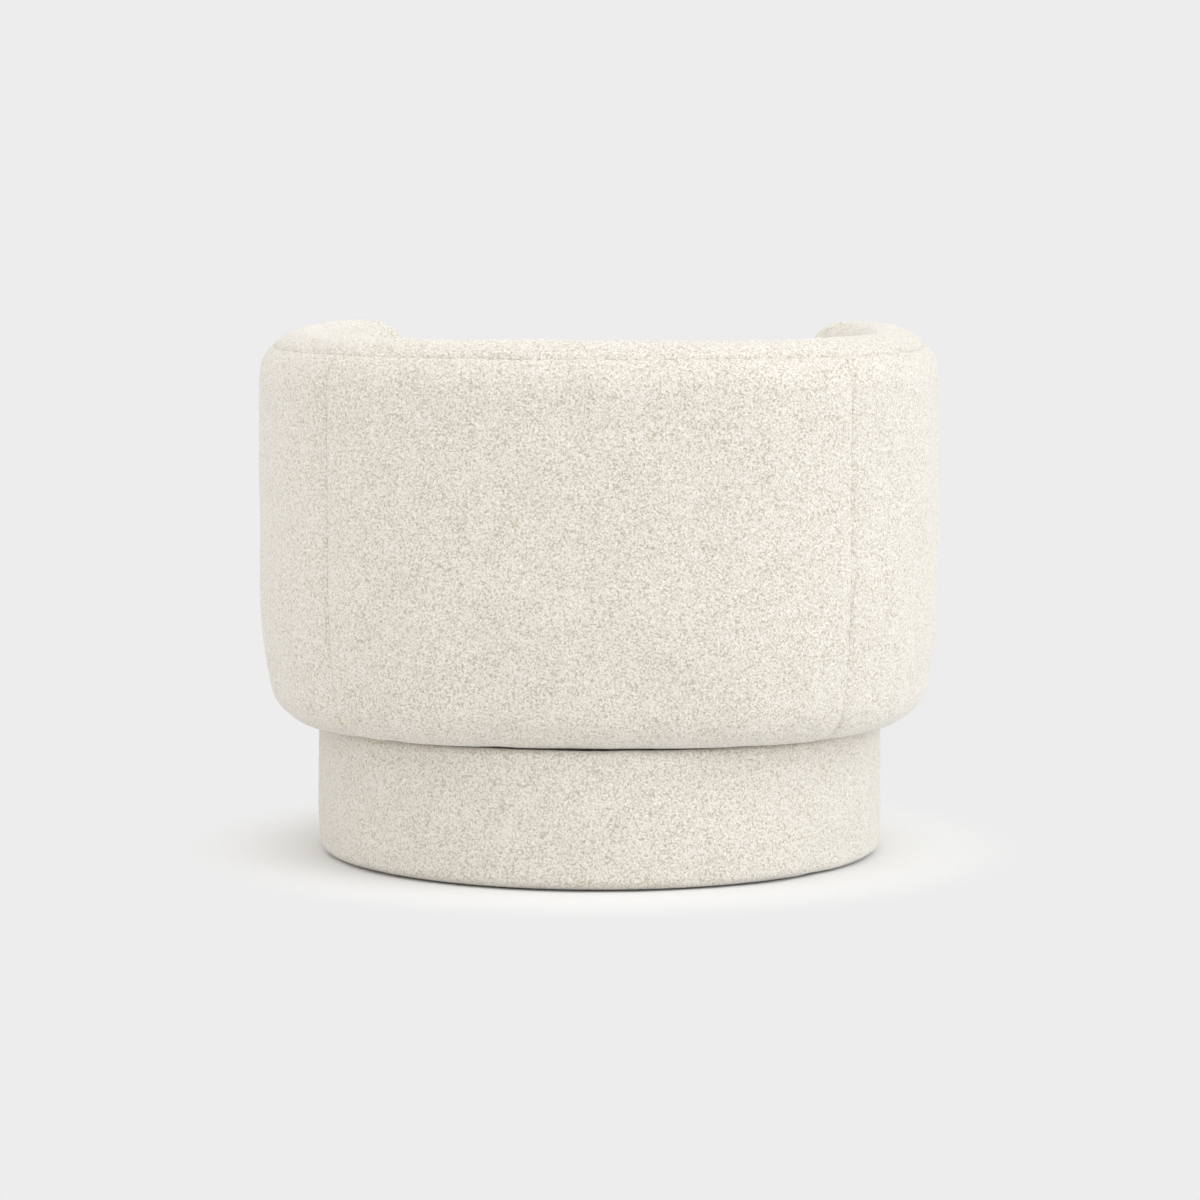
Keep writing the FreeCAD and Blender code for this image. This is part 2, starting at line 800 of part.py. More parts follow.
def screw_spots():
    """Points of the screws that hold the base board to the lower rail, on both sides."""
    spots = []
    for angle in evenly(QUARTER_TURN, "90 - frame_screw_first_angle", "frame_screw_count"):
        point = outline_point(angle, value("frame_screw_inset"))
        spots.append(point)
        spots.append(Vector(-point.x, point.y, 0))
    return spots


def screw_holes(low, high, radius):
    """Upright holes for the base board's screws."""
    return [Part.makeCylinder(radius, high - low, Vector(spot.x, spot.y, low)) for spot in screw_spots()]


def make_base_board():
    """The tub's base board, with its screws up into the lower rail."""
    low = value(BASE_LOW)
    head = value("frame_screw_head")
    clearance = value("hole_clearance")
    shank_hole = value("frame_screw_radius") + clearance
    head_hole = value("frame_screw_head_radius") + clearance
    body = add_body("tub_base_board", BASE_LOW)
    sketch = add_sketch(body, "XY_Plane")
    for edge in outline_wire(value("base_board_inset")).Edges:
        middle = (edge.FirstParameter + edge.LastParameter) / 2
        sketch.addGeometry(Part.Arc(*[edge.valueAt(step) for step in
                                      (edge.FirstParameter, middle, edge.LastParameter)]), False)
    pad(body, sketch, "board")
    drill(body, "pivot_radius + hole_clearance")
    drill(body, "race_screw_radius + hole_clearance", RACE_SCREW_PITCH, "race_screw_count")
    for depth, radius in (("board", shank_hole), ("frame_screw_head", head_hole)):
        holes = add_sketch(body, "XY_Plane")
        for spot in screw_spots():
            holes.addGeometry(Part.Circle(spot, UP, radius), False)
        pocket = body.newObject("PartDesign::Pocket", "tub_base_board_screw_holes")
        pocket.Profile = holes
        pocket.Reversed = True
        pocket.setExpression("Length", rule(depth))
        body.Tip = pocket
    screws = []
    for spot in screw_spots():
        foot = Vector(spot.x, spot.y, low)
        shaft = Part.makeCylinder(value("frame_screw_radius"), value("frame_screw_length"), foot)
        cap = Part.makeCylinder(value("frame_screw_head_radius"), head - gap, foot)
        screws.append(one_solid([shaft, cap]))
    feature("base_board_screws", Part.makeCompound(screws))


def make_lower_rail():
    """The closed ring that carries the uprights, eased where the bottom roll turns under it."""
    outer = value(FRAME_OUT + " + layer_gap")
    inner = outer + value("lower_rail_width")
    low = value(LOWER_RAIL_LOW)
    high = value(STUD_LOW)
    ease = value("lower_rail_chamfer")
    face = section([(outer + ease, low), (inner, low), (inner, high), (outer, high), (outer, low + ease)])
    ring = sweep_round(face)
    radius = value("frame_screw_radius + hole_clearance")
    for hole in screw_holes(low, low + value("frame_screw_length"), radius):
        ring = ring.cut(hole)
    feature("lower_rail", one_solid([ring]))


# Seat deck

def rounded_path(points, radius):
    """Straight runs whose square corners are rounded, as one wire."""
    edges = []
    here = points[0]
    for before, corner, after in zip(points, points[1:], points[2:]):
        back = (before - corner).normalize()
        ahead = (after - corner).normalize()
        begin = corner + back * radius
        finish = corner + ahead * radius
        middle = corner + (back + ahead) * radius - (back + ahead).normalize() * radius
        if (begin - here).Length > SAME_PLACE:
            edges.append(Part.LineSegment(here, begin).toShape())
        edges.append(Part.Arc(begin, middle, finish).toShape())
        here = finish
    edges.append(Part.LineSegment(here, points[-1]).toShape())
    return Part.Wire(edges)


def ring_line(across, side):
    """Distance along Y of the seat ring's middle line, at its back (1) or its front (-1)."""
    inset = value(FRAME_IN + " + seat_ring_width / 2")
    for centre, radius, first, last in ARCS:
        span = (radius - inset) ** 2 - (abs(across) - centre.x) ** 2
        if span < 0:
            continue
        along = centre.y + side * math.sqrt(span)
        angle = math.degrees(math.atan2(abs(across) - centre.x, along - centre.y))
        if first - SAME_PLACE <= angle <= last + SAME_PLACE:
            return along
    raise ValueError("the spring misses the ring")


def spring_points(across, level):
    """Corners of one sinuous spring, from the back of the seat ring to its front."""
    back = ring_line(across, 1)
    front = ring_line(across, -1)
    run_step = 2 * value("spring_bend_radius")
    half = value("spring_half_width")
    runs = int((back - front - 2 * value("spring_end_run")) // run_step)
    first_run = (back + front) / 2 + runs * run_step / 2
    points = [Vector(across, back, level), Vector(across, first_run, level)]
    side = 1
    for number in range(runs):
        along = first_run - number * run_step
        points.append(Vector(across + side * half, along, level))
        points.append(Vector(across + side * half, along - run_step, level))
        side = -side
    last_run = first_run - runs * run_step
    points.append(Vector(across, last_run, level))
    points.append(Vector(across, front, level))
    return points


def make_springs():
    """Sinuous springs with the clips that hold their ends, and the ties across them."""
    wire_radius = value("spring_wire_radius")
    ring_top = value(RING_HIGH)
    level = ring_top + gap + wire_radius
    clip = [value("clip_width"), value("clip_length"), value("clip_height")]
    springs = []
    clips = []
    outermost = int(value("springs_each_side"))
    for step in range(-outermost, outermost + 1):
        across = value("spring_pitch") * step
        points = spring_points(across, level)
        path = rounded_path(points, value("spring_bend_radius"))
        profile = Part.Wire([Part.Circle(points[0], ALONG, wire_radius).toShape()])
        springs.append(path.makePipeShell([profile], True, False))
        for end in (points[0], points[-1]):
            block = Part.makeBox(*clip, Vector(across - clip[0] / 2, end.y - clip[1] / 2, ring_top))
            bore = Part.makeCylinder(wire_radius + value("hole_clearance"), clip[1] + 2 * gap,
                                     Vector(across, end.y - clip[1] / 2 - gap, level), ALONG)
            clips.append(block.cut(bore))
    feature("seat_springs", Part.makeCompound(springs))
    feature("spring_clips", Part.makeCompound(clips))
    tie_radius = value("tie_wire_radius")
    reach = value("spring_pitch") * outermost + value("spring_half_width")
    tie_level = level + wire_radius + gap + tie_radius
    ties = [Part.makeCylinder(tie_radius, 2 * reach, Vector(-reach, side * value("tie_spread") / 2, tie_level),
                              ACROSS) for side in (-1, 1)]
    feature("spring_ties", Part.makeCompound(ties))


def make_deck():
    """The springs, and the hessian, foam and cover over them."""
    make_springs()
    under_foam = outline_wire(value("base_board_inset"))
    feature("deck_hessian", slab(under_foam, value(HESSIAN_LOW), value(HESSIAN_LOW + " + hessian")))
    feature("deck_foam", slab(under_foam, value(DECK_FOAM_LOW), deck))
    front_edge = 2 * value("deck_edge_roll") + gap
    cloth = slab(outline_wire(front_edge), deck + gap, value(DECK_COVER_TOP))
    walls = sweep_back(box_section(-wall, wall + gap, deck - wall, deck + wall), arm_end + seam_turn())
    feature("deck_cover", one_solid([cloth.cut(walls)]))


# Padding and covers

def seam_turn():
    """Angle of the small gap at an upright seam."""
    return math.degrees(value("seam_gap / corner_radius"))


def arm_half_round(steps):
    """A section turned half round the right arm's end, with the distance from the end's axis as x."""
    face = section(steps)
    face.rotate(ORIGIN, ACROSS, QUARTER_TURN)
    face.rotate(ORIGIN, UP, -arm_end - QUARTER_TURN)
    solid = face.revolve(ORIGIN, UP, HALF_TURN)
    solid.translate(outline_point(arm_end, roll) + normal(arm_end + QUARTER_TURN) * value("seam_gap"))
    return solid


def both_sides(label, right):
    """A piece on the chair's +X side, left of the sitter, and its mirror image."""
    feature(label + "_left", right)
    feature(label + "_right", mirrored(right))


def foam_foot():
    """Corners where the foam meets the skin's foot, the lower rail and the base board."""
    rail_low = value(LOWER_RAIL_LOW)
    skin_foot = value(STUD_LOW + " - skin_lap") - gap
    frame_out = value(FRAME_OUT)
    board_out = value("base_board_inset") - gap
    return [
        (value(SKIN_OUT) - gap, skin_foot),
        (frame_out, skin_foot),
        (frame_out + value("lower_rail_chamfer"), rail_low - gap),
        (board_out, rail_low - gap),
        (board_out, value(BASE_LOW)),
    ]


def bow_centre():
    """Centre of the long arc that draws the tub's side in towards its foot."""
    return value("side_bow_radius"), underside + value("side_bow_rise")


def inside_bow(radius, turn):
    """Centre of a smaller arc that touches the bow from inside, at a turn below the level."""
    reach, level = bow_centre()
    turn = math.radians(turn)
    return reach - (reach - radius) * math.cos(turn), level - (reach - radius) * math.sin(turn)


def turn_at(radius, level):
    """Turn of the bow at which a smaller arc's centre comes to a level."""
    reach, start = bow_centre()
    return math.degrees(math.asin((start - level) / (reach - radius)))


def foot_turn():
    """Turn of the bow where the bottom roll begins."""
    return turn_at(bottom_roll, underside + bottom_roll)


def foot_arcs(inset, stop=0.0):
    """The bottom roll and the bowed side above it, upwards, each moved inwards."""
    turn = foot_turn()
    return [
        (inside_bow(bottom_roll, turn), bottom_roll - inset, DOWNWARD, OUTWARD + turn),
        (bow_centre(), value("side_bow_radius") - inset, OUTWARD + turn, OUTWARD + stop),
    ]


def downwards(arcs):
    """The same arcs drawn from their other end."""
    return [(centre, radius, last, first) for centre, radius, first, last in reversed(arcs)]


def make_padding():
    """Foam on the outside, inside, top roll, arm ends and front apron."""
    foam_out = value(FOAM_OUT)
    skin_out = value(SKIN_OUT) - gap
    roll_centre = (roll, roll_level)

    outside = section(
        foot_arcs(foam_out) + [(foam_out, roll_level - gap), (skin_out, roll_level - gap)] + foam_foot())
    feature("outside_foam", sweep_back(outside, arm_end))
    inside = box_section(value(LINING_IN), value(FOAM_IN), deck + gap, roll_level - gap)
    feature("inside_foam", sweep_back(inside, arm_end))

    rail_cap = value(TOP_RAIL_HIGH) + gap
    top = section([
        (roll_centre, roll - foam_out, OUTWARD, INWARD),
        (value(LINING_IN), roll_level), (value(LINING_IN), rail_cap),
        (skin_out, rail_cap), (skin_out, roll_level),
    ])
    feature("top_roll_foam", sweep_back(top, arm_end))

    edge = value("deck_edge_roll")
    board_out = value("base_board_inset") - gap
    front_cap = value(FRONT_RAIL_HIGH) + gap
    stop = turn_at(edge, value(DECK_COVER_TOP) - edge)
    front = section(foot_arcs(foam_out, stop) + [
        (inside_bow(edge, stop), edge - foam_out, OUTWARD + stop, UPWARD),
        (board_out, deck), (board_out, front_cap), (skin_out, front_cap),
    ] + foam_foot())
    feature("front_apron_foam", sweep_front(front, arm_end + seam_turn()))

    end_low = value(DECK_COVER_TOP) + gap
    end_radius = roll - foam_out
    both_sides("arm_end_foam", arm_half_round([
        (0, end_low), (end_radius, end_low), ((0, roll_level), end_radius, INWARD, UPWARD)]))


def make_covers():
    """The sewn cover, panel by panel, and the cloth under the tub."""
    roll_centre = (roll, roll_level)
    flap_end = inside_bow(bottom_roll, foot_turn())[0] + value("flap_width")
    seam = OUTWARD - value("top_seam_angle")
    inside_seam = seam - math.degrees(value("seam_gap") / roll)
    side_seam = value("side_seam_angle")

    outside = section([(flap_end, underside)] + foot_arcs(0) + [
        (roll_centre, roll, OUTWARD, seam), (roll_centre, roll - cover, seam, OUTWARD),
    ] + downwards(foot_arcs(cover)) + [(flap_end, underside + cover)])
    feature("outside_back_panel", sweep_back(outside, side_seam))
    both_sides("outside_side_panel", sweep(outside, side_seam + seam_turn(), arm_end))

    inside = section([
        (roll_centre, roll, inside_seam, INWARD), (wall, deck + gap),
        (wall - cover, deck + gap), (roll_centre, roll - cover, INWARD, inside_seam),
    ])
    feature("inside_cover", sweep_back(inside, arm_end))

    edge = value("deck_edge_roll")
    top = value(DECK_COVER_TOP)
    stop = turn_at(edge, top - edge)
    edge_centre = inside_bow(edge, stop)
    front = section([(flap_end, underside)] + foot_arcs(0, stop) + [
        (edge_centre, edge, OUTWARD + stop, UPWARD), (2 * edge, top), (2 * edge, top - cover),
        (edge_centre, edge - cover, UPWARD, OUTWARD + stop),
    ] + downwards(foot_arcs(cover, stop)) + [(flap_end, underside + cover)])
    feature("front_apron_cover", sweep_front(front, arm_end + seam_turn()))

    end_low = top + gap
    both_sides("arm_end_cover", arm_half_round([
        (roll - cover, end_low), (roll, end_low),
        ((0, roll_level), roll, INWARD, UPWARD), ((0, roll_level), roll - cover, UPWARD, INWARD)]))

    low = value(BASE_LOW + " - dust_cloth")
    cloth = slab(outline_wire(flap_end + gap), low, value(BASE_LOW))
    opening = Part.makeCylinder(value(RACE_OUTER) + gap, wall, Vector(0, 0, low - wall / 2))
    feature("tub_dust_cloth", one_solid([cloth.cut(opening)]))


# Loose seat cushion

def cushion_wire(inset):
    """Outline of the cushion, moved inwards: it fills the tub and spreads in front of both arm ends."""
    rear = wall + value("cushion_side_gap") + inset
    front = value("cushion_front_inset") + inset
    arm_axis = outline_point(arm_end, roll)
    arm_radius = roll + value("cushion_side_gap") + inset
    wing = value("cushion_wing_radius")
    corner_centre, corner, corner_first, corner_last = ARCS[3]

    # The wing's rear corner is round, and lies against the arm end and the front outline
    from_arm = arm_radius - inset + wing
    from_corner = corner - value("cushion_front_inset") - wing
    between = arm_axis - corner_centre
    along = (from_corner ** 2 - from_arm ** 2 + between.Length ** 2) / (2 * between.Length)
    aside = math.sqrt(from_corner ** 2 - along ** 2)
    forward = between / between.Length
    wing_centre = corner_centre + forward * along + Vector(forward.y, -forward.x, 0) * aside
    to_wing = wing_centre - arm_axis
    arm_turn = math.degrees(math.atan2(to_wing.x, to_wing.y)) % FULL_TURN
    outward = wing_centre - corner_centre
    front_turn = math.degrees(math.atan2(outward.x, outward.y))

    right = [arc_edge(centre, radius - rear, first, min(last, arm_end))
             for centre, radius, first, last in ARCS if first < arm_end]
    right.append(arc_edge(arm_axis, arm_radius, arm_end + HALF_TURN, arm_turn))
    right.append(arc_edge(wing_centre, wing - inset, arm_turn - HALF_TURN, front_turn))
    right.append(arc_edge(corner_centre, corner - front, front_turn, corner_last))
    front_centre, radius, first, last = ARCS[4]
    right.append(arc_edge(front_centre, radius - front, first, last))
    left = [mirrored(edge) for edge in right]
    return Part.Wire(Part.__sortEdges__(right + left))


def cushion_solid(inset):
    """The crowned cushion with rounded edges, each face moved inwards."""
    low = value(CUSHION_LOW)
    crown = value("cushion_crown")
    side_top = low + value("cushion_height")
    reach = value("tub_width") / 2
    crown_radius = reach ** 2 / (2 * crown)
    peak = side_top + crown
    body = slab(cushion_wire(inset), low + inset, peak + crown)
    # Laid on its side, so that neither of the sphere's poles nor its seam meets the cushion
    dome = Part.makeSphere(crown_radius - inset)
    dome.rotate(ORIGIN, ACROSS, QUARTER_TURN)
    dome.translate(Vector(0, 0, peak - crown_radius))
    crowned = one_solid([body.common(dome)])
    edges = [edge for edge in crowned.Edges if edge.BoundBox.ZLength < crown]
    return crowned.makeFillet(value("cushion_edge") - inset, edges)


def between_levels(shape, low, high):
    """The part of a shape between two levels."""
    width = value("tub_width")
    block = Part.makeBox(2 * width, 2 * width, high - low, Vector(-width, -width, low))
    return one_solid([shape.common(block)])


def make_cushion():
    """Foam core, sewn top, border and bottom, and the zip at the back."""
    thickness = value("cushion_cover")
    outer = cushion_solid(0)
    case = outer.cut(cushion_solid(thickness))
    low = value(CUSHION_LOW)
    edge = value("cushion_edge")
    seam = value("seam_gap") / 2
    bottom_seam = low + edge
    top_seam = low + value("cushion_height") - edge
    feature("seat_cushion_bottom_panel", between_levels(case, low - edge, bottom_seam - seam))
    border = between_levels(case, bottom_seam + seam, top_seam - seam)
    feature("seat_cushion_top_panel", between_levels(case, top_seam + seam, 2 * top_seam))
    feature("seat_cushion_core", cushion_solid(thickness + gap))

    rear = wall + value("cushion_side_gap")
    depth = value("zip_depth")
    middle = (bottom_seam + top_seam) / 2
    half = value("zip_width / 2")
    turn = math.degrees(value("zip_length / 2") / value("back_radius"))
    slot = sweep_back(box_section(rear - depth, rear + depth, middle - half, middle + half), turn)
    strip = sweep_back(box_section(rear, rear + depth - seam, middle - half + seam, middle + half - seam),
                       turn - seam_turn())
    feature("seat_cushion_border", one_solid([border.cut(slot)]))
    feature("seat_cushion_zip", strip)


def check(item):
    """Stop if an object failed or its shape isn't a sound solid."""
    if {"Invalid", "Error"} & set(item.State):
        raise ValueError("%s: %s" % (item.Label, item.State))
    if item in nodes and (item.Shape.isNull() or not item.Shape.isValid() or item.Shape.Volume <= 0):
        raise ValueError("%s has no valid shape" % item.Label)


make_plinth()
make_swivel()
make_frame()
make_deck()
make_padding()
make_covers()
make_cushion()

doc.recompute()
for item in doc.Objects:
    check(item)
for item in nodes:
    solids = len(item.Shape.Solids)
    print("%-28s solids %3d  volume %10.1f cm3" % (item.Label, solids, item.Shape.Volume / 1000))
    item.Shape.exportStep("parts/%s.step" % item.Label)
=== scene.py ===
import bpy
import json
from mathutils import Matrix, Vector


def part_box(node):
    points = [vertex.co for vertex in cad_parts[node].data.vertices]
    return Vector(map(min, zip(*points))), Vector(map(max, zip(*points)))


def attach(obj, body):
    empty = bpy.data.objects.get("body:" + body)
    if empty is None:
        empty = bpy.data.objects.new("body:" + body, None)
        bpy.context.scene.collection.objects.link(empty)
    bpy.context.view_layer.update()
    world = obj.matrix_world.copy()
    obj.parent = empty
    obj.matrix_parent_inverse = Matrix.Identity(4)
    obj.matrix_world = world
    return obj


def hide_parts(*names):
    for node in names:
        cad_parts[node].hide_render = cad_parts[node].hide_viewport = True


bl_info = {
    "name": "Tub Chair",
    "version": (1, 0, 0),
    "blender": (4, 5, 0),
    "location": "3D View > Sidebar > Tub Chair",
    "description": "Dresses a tub chair in boucle over foam, on its timber frame and ball swivel",
    "category": "Object",
}

import json
import math

import bmesh
import bpy
import numpy as np
from bpy.props import FloatProperty, FloatVectorProperty, IntProperty, PointerProperty
from bpy.types import Operator, Panel, PropertyGroup
from mathutils import Vector
from mathutils.bvhtree import BVHTree
from mathutils.geometry import delaunay_2d_cdt

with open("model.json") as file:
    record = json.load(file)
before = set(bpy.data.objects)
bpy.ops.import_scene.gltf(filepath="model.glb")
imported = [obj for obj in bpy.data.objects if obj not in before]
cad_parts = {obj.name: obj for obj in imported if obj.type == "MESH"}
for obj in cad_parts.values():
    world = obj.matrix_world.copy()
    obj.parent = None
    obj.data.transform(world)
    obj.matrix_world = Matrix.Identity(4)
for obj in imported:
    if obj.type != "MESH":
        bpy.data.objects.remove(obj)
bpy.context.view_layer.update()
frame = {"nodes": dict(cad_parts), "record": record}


def low_of(node):
    """Lowest level of a piece of the frame."""
    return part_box(node)[0].z


def high_of(node):
    """Highest level of a piece of the frame."""
    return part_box(node)[1].z


TUB_TOP = high_of("inside_cover")
TUB_LOW = low_of("outside_back_panel")
TUB_HALF_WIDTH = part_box("outside_side_panel_left")[1].x
TUB_HALF_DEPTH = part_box("outside_back_panel")[1].y
DECK_TOP = high_of("deck_cover")
PLINTH_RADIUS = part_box("plinth_cover")[1].x


# Settings

class ChairSizes(PropertyGroup):
    """Sizes of the upholstered shell and its plinth."""
    back_radius: FloatProperty(
        name="Back radius", description="Radius of the outline at the back and the front",
        default=0.760, subtype="DISTANCE", unit="LENGTH")
    corner_radius: FloatProperty(
        name="Corner radius", description="Radius of the outline at its four corners",
        default=0.332, subtype="DISTANCE", unit="LENGTH")
    side_radius: FloatProperty(
        name="Side radius", description="Radius of the outline at the sides",
        default=0.730, subtype="DISTANCE", unit="LENGTH")
    wall: FloatProperty(
        name="Wall", description="Thickness of the padded wall",
        default=0.118, subtype="DISTANCE", unit="LENGTH")
    bow_radius: FloatProperty(
        name="Side bow radius", description="Radius of the long bow that draws the side in towards its foot",
        default=0.950, subtype="DISTANCE", unit="LENGTH")
    bow_rise: FloatProperty(
        name="Side bow rise", description="Height above the shell's underside where the bow begins",
        default=0.1965, subtype="DISTANCE", unit="LENGTH")
    bottom_roll: FloatProperty(
        name="Bottom roll", description="Radius of the roll under the shell",
        default=0.056, subtype="DISTANCE", unit="LENGTH")
    apron_roll: FloatProperty(
        name="Apron roll", description="Radius of the front apron's top edge",
        default=0.012, subtype="DISTANCE", unit="LENGTH")
    flap: FloatProperty(
        name="Flap", description="Width of the cover turned under the shell",
        default=0.035, subtype="DISTANCE", unit="LENGTH")
    arm_end: FloatProperty(
        name="Arm end", description="Turn from the middle of the back to the arm's front end",
        default=math.radians(124.5), subtype="ANGLE", unit="ROTATION")
    side_seam: FloatProperty(
        name="Side seam", description="Turn from the middle of the back to the upright seam",
        default=math.radians(43), subtype="ANGLE", unit="ROTATION")
    top_seam: FloatProperty(
        name="Top seam", description="Rise of the long seam on the outer side of the top roll",
        default=math.radians(45), subtype="ANGLE", unit="ROTATION")
    plinth_edge: FloatProperty(
        name="Plinth edge", description="Radius of the plinth's top edge",
        default=0.007, subtype="DISTANCE", unit="LENGTH")
    plinth_foot_edge: FloatProperty(
        name="Plinth foot edge", description="Radius of the plinth's bottom edge",
        default=0.012, subtype="DISTANCE", unit="LENGTH")
    plinth_top_return: FloatProperty(
        name="Plinth top return", description="Width of the plinth's cover turned over its top",
        default=0.060, subtype="DISTANCE", unit="LENGTH")
    plinth_foot_return: FloatProperty(
        name="Plinth foot return", description="Width of the plinth's cover turned under its foot",
        default=0.036, subtype="DISTANCE", unit="LENGTH")
    cloth: FloatProperty(
        name="Cloth", description="Thickness of the boucle with its backing",
        default=0.0024, subtype="DISTANCE", unit="LENGTH")


class ChairSewing(PropertyGroup):
    """How the cover lies: its fullness, its seams and its unevenness."""
    grid: FloatProperty(
        name="Grid", description="Spacing of the cover's mesh",
        default=0.0042, subtype="DISTANCE", unit="LENGTH")
    seam_depth: FloatProperty(
        name="Seam depth", description="How far the cover is drawn in at a seam",
        default=0.0024, subtype="DISTANCE", unit="LENGTH")
    seam_width: FloatProperty(
        name="Seam width", description="Half width of the valley along a seam",
        default=0.0048, subtype="DISTANCE", unit="LENGTH")
    pucker: FloatProperty(
        name="Pucker", description="Height of the small gathers beside a seam",
        default=0.0005, subtype="DISTANCE", unit="LENGTH")
    fullness: FloatProperty(
        name="Fullness", description="How far the padding swells between seams",
        default=0.0012, subtype="DISTANCE", unit="LENGTH")
    unevenness: FloatProperty(
        name="Unevenness", description="Soft hollows and rises of the padding",
        default=0.0007, subtype="DISTANCE", unit="LENGTH")
    crown: FloatProperty(
        name="Crown", description="How far the top roll rises in the middle of the back",
        default=0.0024, subtype="DISTANCE", unit="LENGTH")
    rim: FloatProperty(
        name="Rim", description="How far the padded top edge of the plinth swells",
        default=0.0024, subtype="DISTANCE", unit="LENGTH")
    cushion_voxel: FloatProperty(
        name="Cushion mesh", description="Size of the cushion's remesh before its cloth simulation",
        default=0.0075, subtype="DISTANCE", unit="LENGTH")
    cushion_pressure: FloatProperty(
        name="Cushion pressure", description="Pressure that swells the cushion's cover",
        default=4.0)
    cushion_frames: IntProperty(
        name="Cushion frames", description="Frames of the cushion's simulation",
        default=20, min=2)
    cushion_rise: FloatProperty(
        name="Cushion rise", description="The most that the cushion's top may swell",
        default=0.010, subtype="DISTANCE", unit="LENGTH")
    cushion_spread: FloatProperty(
        name="Cushion spread", description="The most that the cushion's sides may swell",
        default=0.0030, subtype="DISTANCE", unit="LENGTH")


class ChairFinish(PropertyGroup):
    """Colours and grain of the boucle; the crease colour is painted shade in the hollows between the loops.
    """
    loop_colour: FloatVectorProperty(
        name="Loops", description="Colour of the yarn's loops",
        default=(0.765, 0.730, 0.662), size=3, subtype="COLOR", min=0, max=1)
    # Painted shade: a darker, warmer colour painted between the loops where the hollows of the yarn fall into
    # shade.
    crease_shade_colour: FloatVectorProperty(
        name="Crease shade", description="Colour between the loops",
        default=(0.47, 0.415, 0.325), size=3, subtype="COLOR", min=0, max=1)
    loop_size: FloatProperty(
        name="Loop size", description="Width of one loop of the yarn",
        default=0.0027, subtype="DISTANCE", unit="LENGTH")
    loop_height: FloatProperty(
        name="Loop height", description="Height of the loops above the backing",
        default=0.0014, subtype="DISTANCE", unit="LENGTH")
    fuzz: FloatProperty(
        name="Fuzz", description="Sheen of the yarn's loose fibres",
        default=0.6, min=0, max=1)


class ChairStage(PropertyGroup):
    """Camera, light and floor."""
    distance: FloatProperty(
        name="Distance", description="Camera's distance behind the chair",
        default=6.0, subtype="DISTANCE", unit="LENGTH")
    height: FloatProperty(
        name="Height", description="Camera's height above the floor",
        default=0.98, subtype="DISTANCE", unit="LENGTH")
    pitch: FloatProperty(
        name="Pitch", description="Camera's tilt below level",
        default=math.radians(6.3), subtype="ANGLE", unit="ROTATION")
    swing: FloatProperty(
        name="Swing", description="Camera's turn from the middle of the back",
        default=math.radians(-2.6), subtype="ANGLE", unit="ROTATION")
    lens: FloatProperty(
        name="Lens", description="Focal length on a sensor 36 mm wide",
        default=141.5, unit="CAMERA")
    backdrop: FloatProperty(
        name="Backdrop", description="Grey that the camera sees behind the chair, 1 for white",
        default=0.847, min=0, max=1)
    ambient: FloatProperty(
        name="Ambient", description="Strength of the light from all round",
        default=1.0, min=0)
    overhead: FloatProperty(
        name="Overhead", description="Strength of the high soft lamp",
        default=0.40, min=0)
    fill: FloatProperty(
        name="Fill", description="Strength of the low lamp on the other side",
        default=0.38, min=0)
    key: FloatProperty(
        name="Key", description="Strength of the soft lamp at the side",
        default=1.32, min=0)


def settings():
    """The four groups of settings."""
    scene = bpy.context.scene
    return scene.chair_sizes, scene.chair_sewing, scene.chair_finish, scene.chair_stage


# Plan outline of the shell

class Outline:
    """Three tangent arcs to each quarter, with turns counted from +Y towards +X."""

    def __init__(self, sizes):
        half_width = TUB_HALF_WIDTH
        half_depth = TUB_HALF_DEPTH
        back, corner, side = sizes.back_radius, sizes.corner_radius, sizes.side_radius
        back_centre = np.array([0.0, half_depth - back])
        side_centre = np.array([half_width - side, 0.0])
        between = side_centre - back_centre
        span = np.linalg.norm(between)
        to_back, to_side = back - corner, side - corner
        along = (to_back ** 2 - to_side ** 2 + span ** 2) / (2 * span)
        aside = math.sqrt(to_back ** 2 - along ** 2)
        forward = between / span
        across = np.array([-forward[1], forward[0]])
        centre = back_centre + forward * along + across * aside
        if centre[0] < 0:
            centre = back_centre + forward * along - across * aside
        first = math.atan2(*(centre - back_centre))
        second = math.atan2(*(centre - side_centre))
        self.arcs = [
            (back_centre, back, 0.0, first),
            (centre, corner, first, second),
            (side_centre, side, second, math.pi - second),
            (centre * [1, -1], corner, math.pi - second, math.pi - first),
            (back_centre * [1, -1], back, math.pi - first, math.pi),
        ]
        self.half_length = sum(radius * (last - low) for _, radius, low, last in self.arcs)

    def place(self, turn, inset):
        """Points of the outline moved inwards."""
        turn, inset = np.broadcast_arrays(np.asarray(turn, float), np.asarray(inset, float))
        wrapped = (turn + math.pi) % math.tau - math.pi
        side = np.where(wrapped < 0, -1.0, 1.0)
        angle = np.abs(wrapped)
        x = np.zeros(angle.shape)
        y = np.zeros(angle.shape)
        for centre, radius, low, last in self.arcs:
            here = (angle >= low - 1e-9) & (angle <= last + 1e-9)
            x[here] = centre[0] + (radius - inset[here]) * np.sin(angle[here])
            y[here] = centre[1] + (radius - inset[here]) * np.cos(angle[here])
        return x * side, y

    def length(self, turn, inset=0.0):
        """Length along the outline from the middle of the back."""
        turn = np.asarray(turn, float)
        rest = np.abs(turn)
        beyond = rest > math.pi
        rest = np.where(beyond, math.tau - rest, rest)
        total = np.zeros(rest.shape)
        for _, radius, low, last in self.arcs:
            total += radius * np.clip(rest - low, 0, last - low)
        total = np.where(beyond, 2 * self.half_length - total, total)
        return np.sign(turn) * total - inset * turn


SEAM_ROWS = (0, .0012, .0024, .0037, .0052, .0071, .0096)
DENSE_TURNS = 4001
ARC_POINTS = 65
SAME_PLACE = 1e-7
TANGENT_REACH = 0.0008


